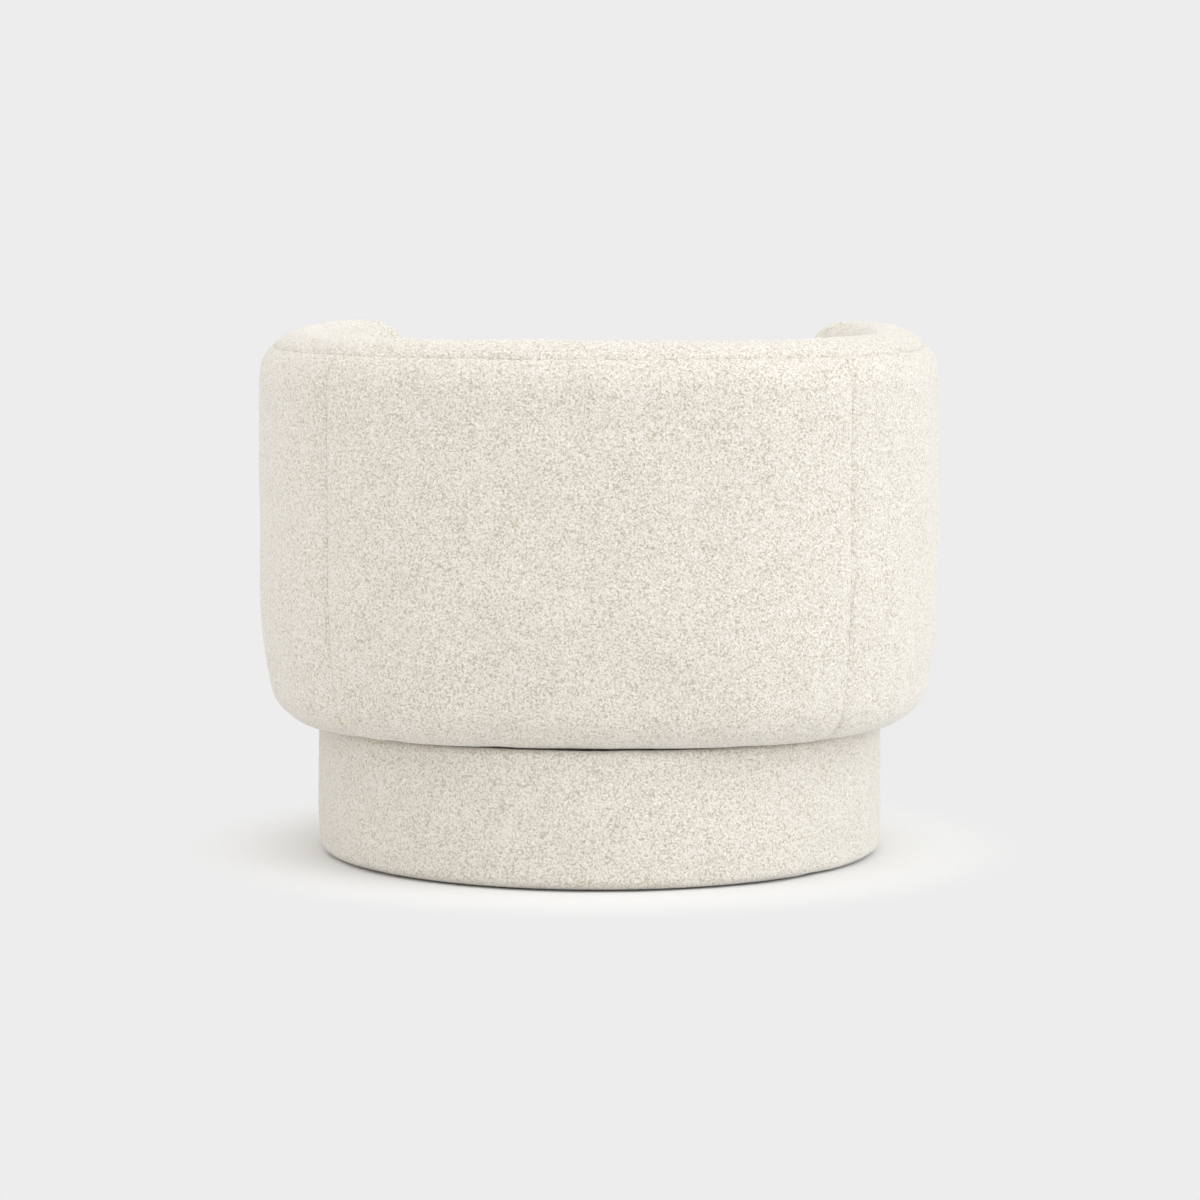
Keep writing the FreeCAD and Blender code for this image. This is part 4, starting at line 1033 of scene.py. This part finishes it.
# The case at its two long seams, and its hollows
BESIDE_SEAM = (-.0062, -.0040, -.0022, 0, .0022, .0040, .0062)
CUSHION_VALLEY = 0.0026
CUSHION_VALLEY_WIDTH = 0.0042
CUSHION_VALLEY_POWER = 1.6
CUSHION_GATHERS = 0.0005
CUSHION_GATHERS_BAND = (0.012, 0.026)
CUSHION_HOLLOWS = 0.0009
CUSHION_HOLLOWS_BAND = (0.07, 0.18)
UNDER_SHARE = 0.3
CUSHION_SEED = 91


def swell_cushion(piece, sewing):
    """Swells the cushion by cloth simulation and caps how far each point moves."""
    before = mesh_points(piece.data)
    normals = mesh_normals(piece.data)
    after = before + normals * PLAIN_SWELL
    cloth = piece.modifiers.new("cloth", "CLOTH")
    cloth.settings.use_pressure = True
    cloth.settings.uniform_pressure_force = sewing.cushion_pressure
    cloth.settings.effector_weights.gravity = 0
    cloth.point_cache.frame_start = 1
    cloth.point_cache.frame_end = sewing.cushion_frames
    for number in range(1, sewing.cushion_frames + 1):
        bpy.context.scene.frame_set(number)
    swollen = evaluated_mesh(piece)
    after = mesh_points(swollen)
    bpy.data.meshes.remove(swollen)
    piece.modifiers.clear()
    bpy.context.scene.frame_set(1)
    move = after - before
    sideways = np.linalg.norm(move[:, :2], axis=1)
    cap = np.minimum(1.0, sewing.cushion_spread / np.maximum(sideways, 1e-9))
    move[:, :2] *= cap[:, None]
    middle = (before[:, 2].min() + before[:, 2].max()) / 2
    upper = before[:, 2] > middle
    move[:, 2] = np.where(upper, np.clip(move[:, 2], TOP_SINK, sewing.cushion_rise),
                          np.clip(move[:, 2], *FOOT_SWELL))
    set_points(piece.data, before + move)


def cushion_form(sewing):
    """The swollen form of the whole cushion."""
    piece = remeshed("cushion_form", "seat_cushion_core", sewing.cushion_voxel)
    soften(piece, 3)
    swell_cushion(piece, sewing)
    soften(piece, 4)
    return piece


def seam_levels():
    """Levels of the cushion's two long seams."""
    lower = (high_of("seat_cushion_bottom_panel") + low_of("seat_cushion_border")) / 2
    upper = (high_of("seat_cushion_border") + low_of("seat_cushion_top_panel")) / 2
    return lower, upper


def cut_levels(mesh, levels):
    """Adds edge loops to a mesh at levels."""
    work = bmesh.new()
    work.from_mesh(mesh)
    for level in levels:
        bmesh.ops.bisect_plane(work, geom=work.verts[:] + work.edges[:] + work.faces[:], dist=1e-6,
                               plane_co=(0, 0, level), plane_no=(0, 0, 1))
    bmesh.ops.remove_doubles(work, verts=work.verts, dist=0.0003)
    work.to_mesh(mesh)
    work.free()


def cushion_panel(name, form, low, high, thickness, node):
    """The part of the cushion's case between two levels, as a closed cloth shell."""
    mesh = form.data.copy()
    mesh.name = name
    work = bmesh.new()
    work.from_mesh(mesh)
    away = [face for face in work.faces if not low < face.calc_center_median().z < high]
    bmesh.ops.delete(work, geom=away, context="FACES")
    work.to_mesh(mesh)
    work.free()
    piece = add_object(name, mesh)
    solid = piece.modifiers.new("cloth", "SOLIDIFY")
    solid.thickness = thickness
    solid.offset = -1.0
    apply_modifiers(piece)
    return dress(piece, CUSHION, [node], material(BOUCLE))


def make_cushion_case(sizes, sewing):
    """Foam core, and the top, border and bottom of the case over it."""
    form = cushion_form(sewing)
    core = add_object("cushion_foam", form.data.copy())
    set_points(core.data, mesh_points(core.data) - mesh_normals(core.data) * (sizes.cloth + CORE_CLEAR))
    dress(core, CUSHION, ["seat_cushion_core"], material("foam"))

    subdivide = form.modifiers.new("fine", "SUBSURF")
    subdivide.levels = subdivide.render_levels = 1
    apply_modifiers(form)
    fine = form.data
    lower, upper = seam_levels()
    cut_levels(fine, [level + step for level in (lower, upper) for step in BESIDE_SEAM])
    points = mesh_points(fine)
    normals = mesh_normals(fine)
    seams = np.stack([np.abs(points[:, 2] - lower), np.abs(points[:, 2] - upper)])
    nearest = seams.min(0)
    flat = normals * [1.0, 1.0, 0.0]
    flat /= np.maximum(np.linalg.norm(flat, axis=1), 1e-9)[:, None]
    steep = 1 - np.abs(normals[:, 2])
    valley = CUSHION_VALLEY * np.exp(-(nearest / CUSHION_VALLEY_WIDTH) ** CUSHION_VALLEY_POWER)
    valley = valley * np.clip(steep * 2, 0, 1)
    gathers = ripple(points, CUSHION_SEED + 2, CUSHION_GATHERS_BAND) * CUSHION_GATHERS
    gathers = gathers * np.exp(-nearest / GATHERS_REACH)
    slow = ripple(points, CUSHION_SEED, CUSHION_HOLLOWS_BAND) * CUSHION_HOLLOWS
    on_top = points[:, 2] > lower
    move = normals * ((slow + gathers) * np.where(on_top, 1.0, UNDER_SHARE))[:, None] - flat * valley[:, None]
    set_points(fine, points + move)

    reach = 1.0
    cushion_panel("cushion_bottom_panel", form, -reach, lower, sizes.cloth, "seat_cushion_bottom_panel")
    cushion_panel("cushion_border", form, lower, upper, sizes.cloth, "seat_cushion_border")
    cushion_panel("cushion_top_panel", form, upper, reach, sizes.cloth, "seat_cushion_top_panel")
    tree = BVHTree.FromPolygons([v.co.copy() for v in fine.vertices], [p.vertices[:] for p in fine.polygons])
    bpy.data.objects.remove(form)
    return tree


RAY_START = 0.05


def zip_line(outline, tree, turns, level, proud):
    """Points and outward normals along the back of the cushion at a level."""
    rear = TUB_HALF_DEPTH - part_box("seat_cushion_border")[1].y
    xs, ys = outline.place(turns, rear)
    points, normals = [], []
    for x, y, turn in zip(xs, ys, turns):
        outward = Vector((math.sin(turn), math.cos(turn), 0.0))
        start = Vector((x, y, level)) + outward * RAY_START
        hit = tree.ray_cast(start, -outward)[0]
        place = hit if hit is not None else Vector((x, y, level))
        points.append(list(place + outward * proud))
        normals.append(list(outward))
    return np.array(points), np.array(normals)


# Section of the tape as shares of its half width, with how proud each line stands
TAPE_LINES = ((-1.0, 0.0003), (-0.55, 0.0009), (-0.2, 0.0007), (-0.08, 0.0003),
              (0.08, 0.0003), (0.2, 0.0007), (0.55, 0.0009), (1.0, 0.0003))
TAPE = 0.0008
TAPE_COLUMNS = 121
COIL_PITCH = 0.0022
COIL_PROUD = 0.0010
COIL_SIDES = 8
COIL_OFFSET = 0.0011
TOOTH_HALF_HEIGHT = 0.0024
TOOTH_HALF_WIDTHS = (0.00085, 0.0008)
TOOTH_PROFILE = ((-1.0, 0.3), (-0.6, 0.9), (0.6, 0.9), (1.0, 0.3))
SLIDER_COLUMN = -12
SLIDER_BODY = {"size": (0.009, 0.0026, 0.0085), "proud": 0.0016, "shift": 0.0, "taper": 0.8,
               "edge": 0.0008, "rounds": 3}
SLIDER_PULL = {"size": (0.018, 0.0011, 0.0048), "proud": 0.0037, "shift": -0.006, "taper": 1.0,
               "edge": 0.0005, "rounds": 2}


def zip_coil(line, outward):
    """Points and faces of the coil's teeth, one after another to either side of a line."""
    points, faces = [], []
    lengths = np.r_[0, np.cumsum(np.linalg.norm(np.diff(line, axis=0), axis=1))]
    stations = np.arange(COIL_PITCH, lengths[-1] - COIL_PITCH, COIL_PITCH)
    ring = np.linspace(0, math.tau, COIL_SIDES, endpoint=False)
    across, deep = TOOTH_HALF_WIDTHS
    for number, station in enumerate(stations):
        at = np.array([np.interp(station, lengths, line[:, k]) for k in range(3)])
        out = np.array([np.interp(station, lengths, outward[:, k]) for k in range(3)])
        along = np.cross(out, [0.0, 0.0, 1.0])
        side = 1 if number % 2 else -1
        centre = at + np.array([0, 0, COIL_OFFSET * side])
        start = len(points)
        for share, width in TOOTH_PROFILE:
            for angle in ring:
                offset = along * across * width * math.cos(angle) + out * deep * width * math.sin(angle)
                points.append(centre + np.array([0, 0, share * TOOTH_HALF_HEIGHT]) + offset)
        for row in range(len(TOOTH_PROFILE) - 1):
            for k in range(COIL_SIDES):
                a = start + row * COIL_SIDES + k
                b = start + row * COIL_SIDES + (k + 1) % COIL_SIDES
                faces.append([a, b, b + COIL_SIDES, a + COIL_SIDES])
        faces.append([start + k for k in reversed(range(COIL_SIDES))])
        last = start + COIL_SIDES * (len(TOOTH_PROFILE) - 1)
        faces.append([last + k for k in range(COIL_SIDES)])
    return points, faces


def rounded_block(work, at, out, size, proud, shift, taper, edge, rounds):
    """Adds a block with rounded edges beside a point of the zip, its size along, outwards and upwards."""
    along = np.cross(out, [0.0, 0.0, 1.0])
    length, depth, height = size
    corners = bmesh.ops.create_cube(work, size=1.0)["verts"]
    for vert in corners:
        narrow = taper if vert.co.x > 0 else 1.0
        place = (at + out * proud + along * (vert.co.x * length + shift) + out * vert.co.y * depth
                 + np.array([0, 0, vert.co.z * height * narrow]))
        vert.co = Vector(place)
    own = set(corners)
    edges = [line for line in work.edges if line.verts[0] in own]
    bmesh.ops.bevel(work, geom=edges, offset=edge, segments=rounds, affect="EDGES", profile=0.7)


def zip_slider(at, out):
    """The slider's body with its pull, at a point of the zip."""
    work = bmesh.new()
    for block in (SLIDER_BODY, SLIDER_PULL):
        rounded_block(work, at, out, **block)
    bmesh.ops.recalc_face_normals(work, faces=work.faces)
    mesh = bpy.data.meshes.new("zip_slider")
    work.to_mesh(mesh)
    work.free()
    mesh.shade_smooth()
    return add_object("zip_slider", mesh)


def make_zip(outline, tree, sizes):
    """The zip at the back of the cushion: ribbed tape, coil and slider."""
    node = "seat_cushion_zip"
    low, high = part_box(node)
    turn = math.asin(high.x / (sizes.back_radius - (TUB_HALF_DEPTH - high.y)))
    turns = np.linspace(-turn, turn, TAPE_COLUMNS)
    middle = (low.z + high.z) / 2
    half = (high.z - low.z) / 2
    lines = [zip_line(outline, tree, turns, middle + half * share, proud) for share, proud in TAPE_LINES]
    grid = np.stack([line[0] for line in lines])
    normals = np.stack([line[1] for line in lines])
    tape = add_mesh("zip_tape", *shell_mesh(grid, normals, TAPE))
    dress(tape, CUSHION, [node], material("zip_tape"))

    line, outward = zip_line(outline, tree, turns, middle, COIL_PROUD)
    coil = add_mesh("zip_coil", *zip_coil(line, outward))
    dress(coil, CUSHION, [], material("zip_tape"))
    slider = zip_slider(line[SLIDER_COLUMN], outward[SLIDER_COLUMN])
    dress(slider, CUSHION, [], material("steel"))


# Stage

WORLD_COLOUR = (1.0, 0.988, 0.966, 1.0)
# Each lamp's direction, the degrees over which it spreads, and its colour
LAMPS = {
    "key": ((1.0, -0.32, -0.62), 55, (0.90, 0.955, 1.0)),
    "overhead": ((0.0, -0.34, -1.0), 45, (1.0, 0.985, 0.96)),
    "fill": ((-1.0, -0.1, -0.3), 80, (1.0, 0.98, 0.95)),
}


def shown_rays(tree):
    """One for the rays that see the backdrop as it is: the camera's, and those in gloss and glass."""
    path = tree.nodes.new("ShaderNodeLightPath")
    total = path.outputs["Is Camera Ray"]
    for name in ("Is Glossy Ray", "Is Transmission Ray"):
        add = tree.nodes.new("ShaderNodeMath")
        add.operation = "MAXIMUM"
        tree.links.new(total, add.inputs[0])
        tree.links.new(path.outputs[name], add.inputs[1])
        total = add.outputs[0]
    return total


# The floor: half its side, its two near greys, and how far from the plinth it runs out into the backdrop
FLOOR_HALF = 30.0
FLOOR_GREYS = (0.78, 0.80)
FLOOR_FADE = (0.006, 0.20)


def make_floor(stage):
    """A wide pale floor that takes the chair's shadow and runs out into the backdrop."""
    size = FLOOR_HALF
    floor = add_mesh("floor", [(-size, -size, 0), (size, -size, 0), (size, size, 0), (-size, size, 0)],
                     [(0, 1, 2, 3)])
    make = Nodes("floor")
    tree = make.tree
    grain = make.noise(make.place, 160.0, 3.0)
    dull, bright = FLOOR_GREYS
    tone = make.ramp(grain.outputs["Fac"], [(0.3, (dull,) * 3), (0.7, (bright,) * 3)])
    make.finish(tone, 0.9, None, Specular_IOR_Level=0.0)
    reach = make.operate("ShaderNodeVectorMath", "LENGTH", make.place).outputs["Value"]
    near, far = (PLINTH_RADIUS + away for away in FLOOR_FADE)
    fade = make.add("ShaderNodeMapRange", set_interpolation_type="SMOOTHSTEP", Value=reach,
                    From_Min=near, From_Max=far)
    plain = make.add("ShaderNodeEmission", Color=(*(stage.backdrop,) * 3, 1.0))
    share = make.math("MULTIPLY", fade.outputs["Result"], shown_rays(tree))
    mix = tree.nodes.new("ShaderNodeMixShader")
    make.give(mix.inputs[0], share)
    make.give(mix.inputs[1], make.shader.outputs[0])
    make.give(mix.inputs[2], plain.outputs[0])
    make.give(tree.nodes["Material Output"].inputs["Surface"], mix.outputs[0])
    floor.data.materials.append(make.material)


def make_world(stage):
    """Even warm-white light, with the backdrop's grey where it is seen."""
    world = bpy.data.worlds.new("studio")
    world.use_nodes = True
    tree = world.node_tree
    light = tree.nodes["Background"]
    light.inputs["Color"].default_value = WORLD_COLOUR
    light.inputs["Strength"].default_value = stage.ambient
    grey = tree.nodes.new("ShaderNodeBackground")
    grey.inputs["Color"].default_value = (*(stage.backdrop,) * 3, 1.0)
    mix = tree.nodes.new("ShaderNodeMixShader")
    tree.links.new(shown_rays(tree), mix.inputs[0])
    tree.links.new(light.outputs[0], mix.inputs[1])
    tree.links.new(grey.outputs[0], mix.inputs[2])
    tree.links.new(mix.outputs[0], tree.nodes["World Output"].inputs["Surface"])
    bpy.context.scene.world = world


def make_lamp(name, strength, direction, spread, colour):
    """A soft lamp far away."""
    data = bpy.data.lights.new(name, "SUN")
    data.energy = strength
    data.angle = math.radians(spread)
    data.color = colour
    lamp = add_object(name, data)
    lamp.rotation_euler = Vector(direction).to_track_quat("-Z", "Y").to_euler()


def make_camera(stage):
    """The camera behind the chair, looking a little down on it."""
    data = bpy.data.cameras.new("camera")
    data.lens = stage.lens
    data.sensor_width = 36.0
    camera = add_object("camera", data)
    camera.location = (stage.distance * math.sin(stage.swing), stage.distance * math.cos(stage.swing),
                       stage.height)
    camera.rotation_euler = (math.pi / 2 - stage.pitch, 0.0, math.pi - stage.swing)
    bpy.context.scene.camera = camera


# Operators

# Clearances of the cloths, and the holes round the glides
WALL_CLEAR = 0.0006
APRON_CLEAR = 0.0004
RING_CLEAR = 0.0004
GLIDE_COUNT = 8
GLIDE_RADIUS = 0.014
GLIDE_HOLE = 0.015
PAD_SHRINK = 0.0004


def outline_now():
    """The shell's outline with the sizes as they are."""
    return Outline(settings()[0])


class CHAIR_OT_shell_cover(Operator):
    """Makes the sewn cover of the shell, panel by panel"""
    bl_idname = "chair.shell_cover"
    bl_label = "Shell cover"

    def execute(self, context):
        sizes, sewing, _, _ = settings()
        outline = outline_now()
        seam, end = sizes.side_seam, sizes.arm_end
        for name, first, last, seams_at, node in (
                ("outside_back", -seam, seam, (-seam, seam), "outside_back_panel"),
                ("outside_side_left", seam, end, (seam, end), "outside_side_panel_left"),
                ("outside_side_right", -end, -seam, (-seam, -end), "outside_side_panel_right")):
            outside_panel(name, first, last, seams_at, outline, sizes, sewing, node)
        inside_panel(outline, sizes, sewing)
        apron_panel(outline, sizes, sewing)
        arm_end_panel("arm_end_left", 1, outline, sizes, sewing, "arm_end_cover_left")
        arm_end_panel("arm_end_right", -1, outline, sizes, sewing, "arm_end_cover_right")
        return {"FINISHED"}


class CHAIR_OT_plinth_cover(Operator):
    """Makes the plinth's cover"""
    bl_idname = "chair.plinth_cover"
    bl_label = "Plinth cover"

    def execute(self, context):
        sizes, sewing, _, _ = settings()
        plinth_panel(sizes, sewing)
        return {"FINISHED"}


class CHAIR_OT_cushion(Operator):
    """Makes the loose seat cushion with its zip"""
    bl_idname = "chair.cushion"
    bl_label = "Seat cushion"

    def execute(self, context):
        sizes, sewing, _, _ = settings()
        tree = make_cushion_case(sizes, sewing)
        make_zip(outline_now(), tree, sizes)
        return {"FINISHED"}


class CHAIR_OT_cloths(Operator):
    """Makes the seat deck's cloths and the cloths under the shell and the plinth"""
    bl_idname = "chair.cloths"
    bl_label = "Cloths"

    def execute(self, context):
        sizes = settings()[0]
        outline = outline_now()
        back = np.linspace(-sizes.arm_end, sizes.arm_end, 260)
        front = np.linspace(sizes.arm_end, math.tau - sizes.arm_end, 120)
        rear = outline.place(back, sizes.wall + WALL_CLEAR)
        fore = outline.place(front, 2 * sizes.apron_roll + APRON_CLEAR)
        deck = cloth_loop(np.r_[rear[0], fore[0]], np.r_[rear[1], fore[1]])
        lay_cloth("deck_cloth", deck, [], "deck_cover", TUB, BOUCLE, 0.010, slack(5))

        round_all = np.linspace(-math.pi, math.pi, 320, endpoint=False)
        inset = TUB_HALF_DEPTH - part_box("deck_hessian")[1].y
        hessian = cloth_loop(*outline.place(round_all, inset))
        lay_cloth("deck_hessian_cloth", hessian, [], "deck_hessian", TUB, "hessian", 0.012, slack(6))

        inset = TUB_HALF_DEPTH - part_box("tub_dust_cloth")[1].y
        edge = cloth_loop(*outline.place(round_all, inset))
        opening = circle_loop(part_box("swivel_upper_ring")[1].x + RING_CLEAR, count=96)
        lay_cloth("shell_dust_cloth", edge, [opening], "tub_dust_cloth", TUB, "dust_cloth", 0.014,
                  level_cloth)

        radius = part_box("plinth_dust_cloth")[1].x
        reach = (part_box("glides")[1].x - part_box("glides")[0].x) / 2
        pitch = reach - GLIDE_RADIUS
        holes = [circle_loop(GLIDE_HOLE, (pitch * math.cos(turn), pitch * math.sin(turn)), 24)
                 for turn in np.arange(GLIDE_COUNT) * math.tau / GLIDE_COUNT]
        lay_cloth("plinth_foot_cloth", circle_loop(radius, count=220), holes, "plinth_dust_cloth", "plinth",
                  "dust_cloth", 0.014, level_cloth)
        return {"FINISHED"}


class CHAIR_OT_pads(Operator):
    """Makes the foam pads under the cover, with soft cut edges"""
    bl_idname = "chair.pads"
    bl_label = "Foam pads"

    def execute(self, context):
        pads = (
            ("plinth_foam_pad", "plinth_padding", "plinth", 0.0042),
            ("outside_foam_pad", "outside_foam", TUB, 0.0065),
            ("inside_foam_pad", "inside_foam", TUB, 0.0065),
            ("top_roll_foam_pad", "top_roll_foam", TUB, 0.0060),
            ("apron_foam_pad", "front_apron_foam", TUB, 0.0060),
            ("arm_end_foam_pad_left", "arm_end_foam_left", TUB, 0.0060),
            ("arm_end_foam_pad_right", "arm_end_foam_right", TUB, 0.0060),
            ("deck_foam_pad", "deck_foam", TUB, 0.0065),
        )
        for name, node, body, voxel in pads:
            piece = remeshed(name, node, voxel)
            soften(piece, 2)
            set_points(piece.data, mesh_points(piece.data) - mesh_normals(piece.data) * PAD_SHRINK)
            dress(piece, body, [node], material("foam"))
        return {"FINISHED"}


class CHAIR_OT_frame_finish(Operator):
    """Gives the timber, board, steel and nylon of the frame their finishes"""
    bl_idname = "chair.frame_finish"
    bl_label = "Frame finishes"

    def execute(self, context):
        for entry in frame["record"]["subparts"]:
            node = frame["nodes"][entry["node"]]
            if not node.hide_render:
                node.data.materials.clear()
                node.data.materials.append(material(entry["material_slot"]))
        return {"FINISHED"}


class CHAIR_OT_stage(Operator):
    """Makes the floor, the light and the camera"""
    bl_idname = "chair.stage"
    bl_label = "Stage"

    def execute(self, context):
        stage = settings()[3]
        make_floor(stage)
        make_world(stage)
        for name, lamp in LAMPS.items():
            make_lamp(name, getattr(stage, name), *lamp)
        make_camera(stage)
        bpy.context.scene.view_settings.view_transform = "Standard"
        return {"FINISHED"}


class CHAIR_PT_panel(Panel):
    """The chair's settings and steps"""
    bl_label = "Tub Chair"
    bl_idname = "CHAIR_PT_panel"
    bl_space_type = "VIEW_3D"
    bl_region_type = "UI"
    bl_category = "Tub Chair"

    def draw(self, context):
        for step in STEPS:
            self.layout.operator(step.bl_idname)
        for group in GROUPS:
            box = self.layout.box()
            box.label(text=group)
            owner = getattr(context.scene, group)
            for name in owner.bl_rna.properties.keys():
                if name not in ("rna_type", "name"):
                    box.prop(owner, name)


STEPS = (CHAIR_OT_stage, CHAIR_OT_shell_cover, CHAIR_OT_plinth_cover, CHAIR_OT_pads, CHAIR_OT_cushion,
         CHAIR_OT_cloths, CHAIR_OT_frame_finish)
GROUPS = {"chair_sizes": ChairSizes, "chair_sewing": ChairSewing, "chair_finish": ChairFinish,
          "chair_stage": ChairStage}


def register():
    """Registers the settings, the steps and the panel."""
    for name, group in GROUPS.items():
        bpy.utils.register_class(group)
        setattr(bpy.types.Scene, name, PointerProperty(type=group))
    for step in (*STEPS, CHAIR_PT_panel):
        bpy.utils.register_class(step)


def unregister():
    """Takes them away again."""
    for step in (CHAIR_PT_panel, *reversed(STEPS)):
        bpy.utils.unregister_class(step)
    for name, group in reversed(GROUPS.items()):
        delattr(bpy.types.Scene, name)
        bpy.utils.unregister_class(group)


def main():
    """Makes the whole chair."""
    register()
    for step in STEPS:
        group, name = step.bl_idname.split(".")
        getattr(getattr(bpy.ops, group), name)()


if __name__ == "__main__":
    main()
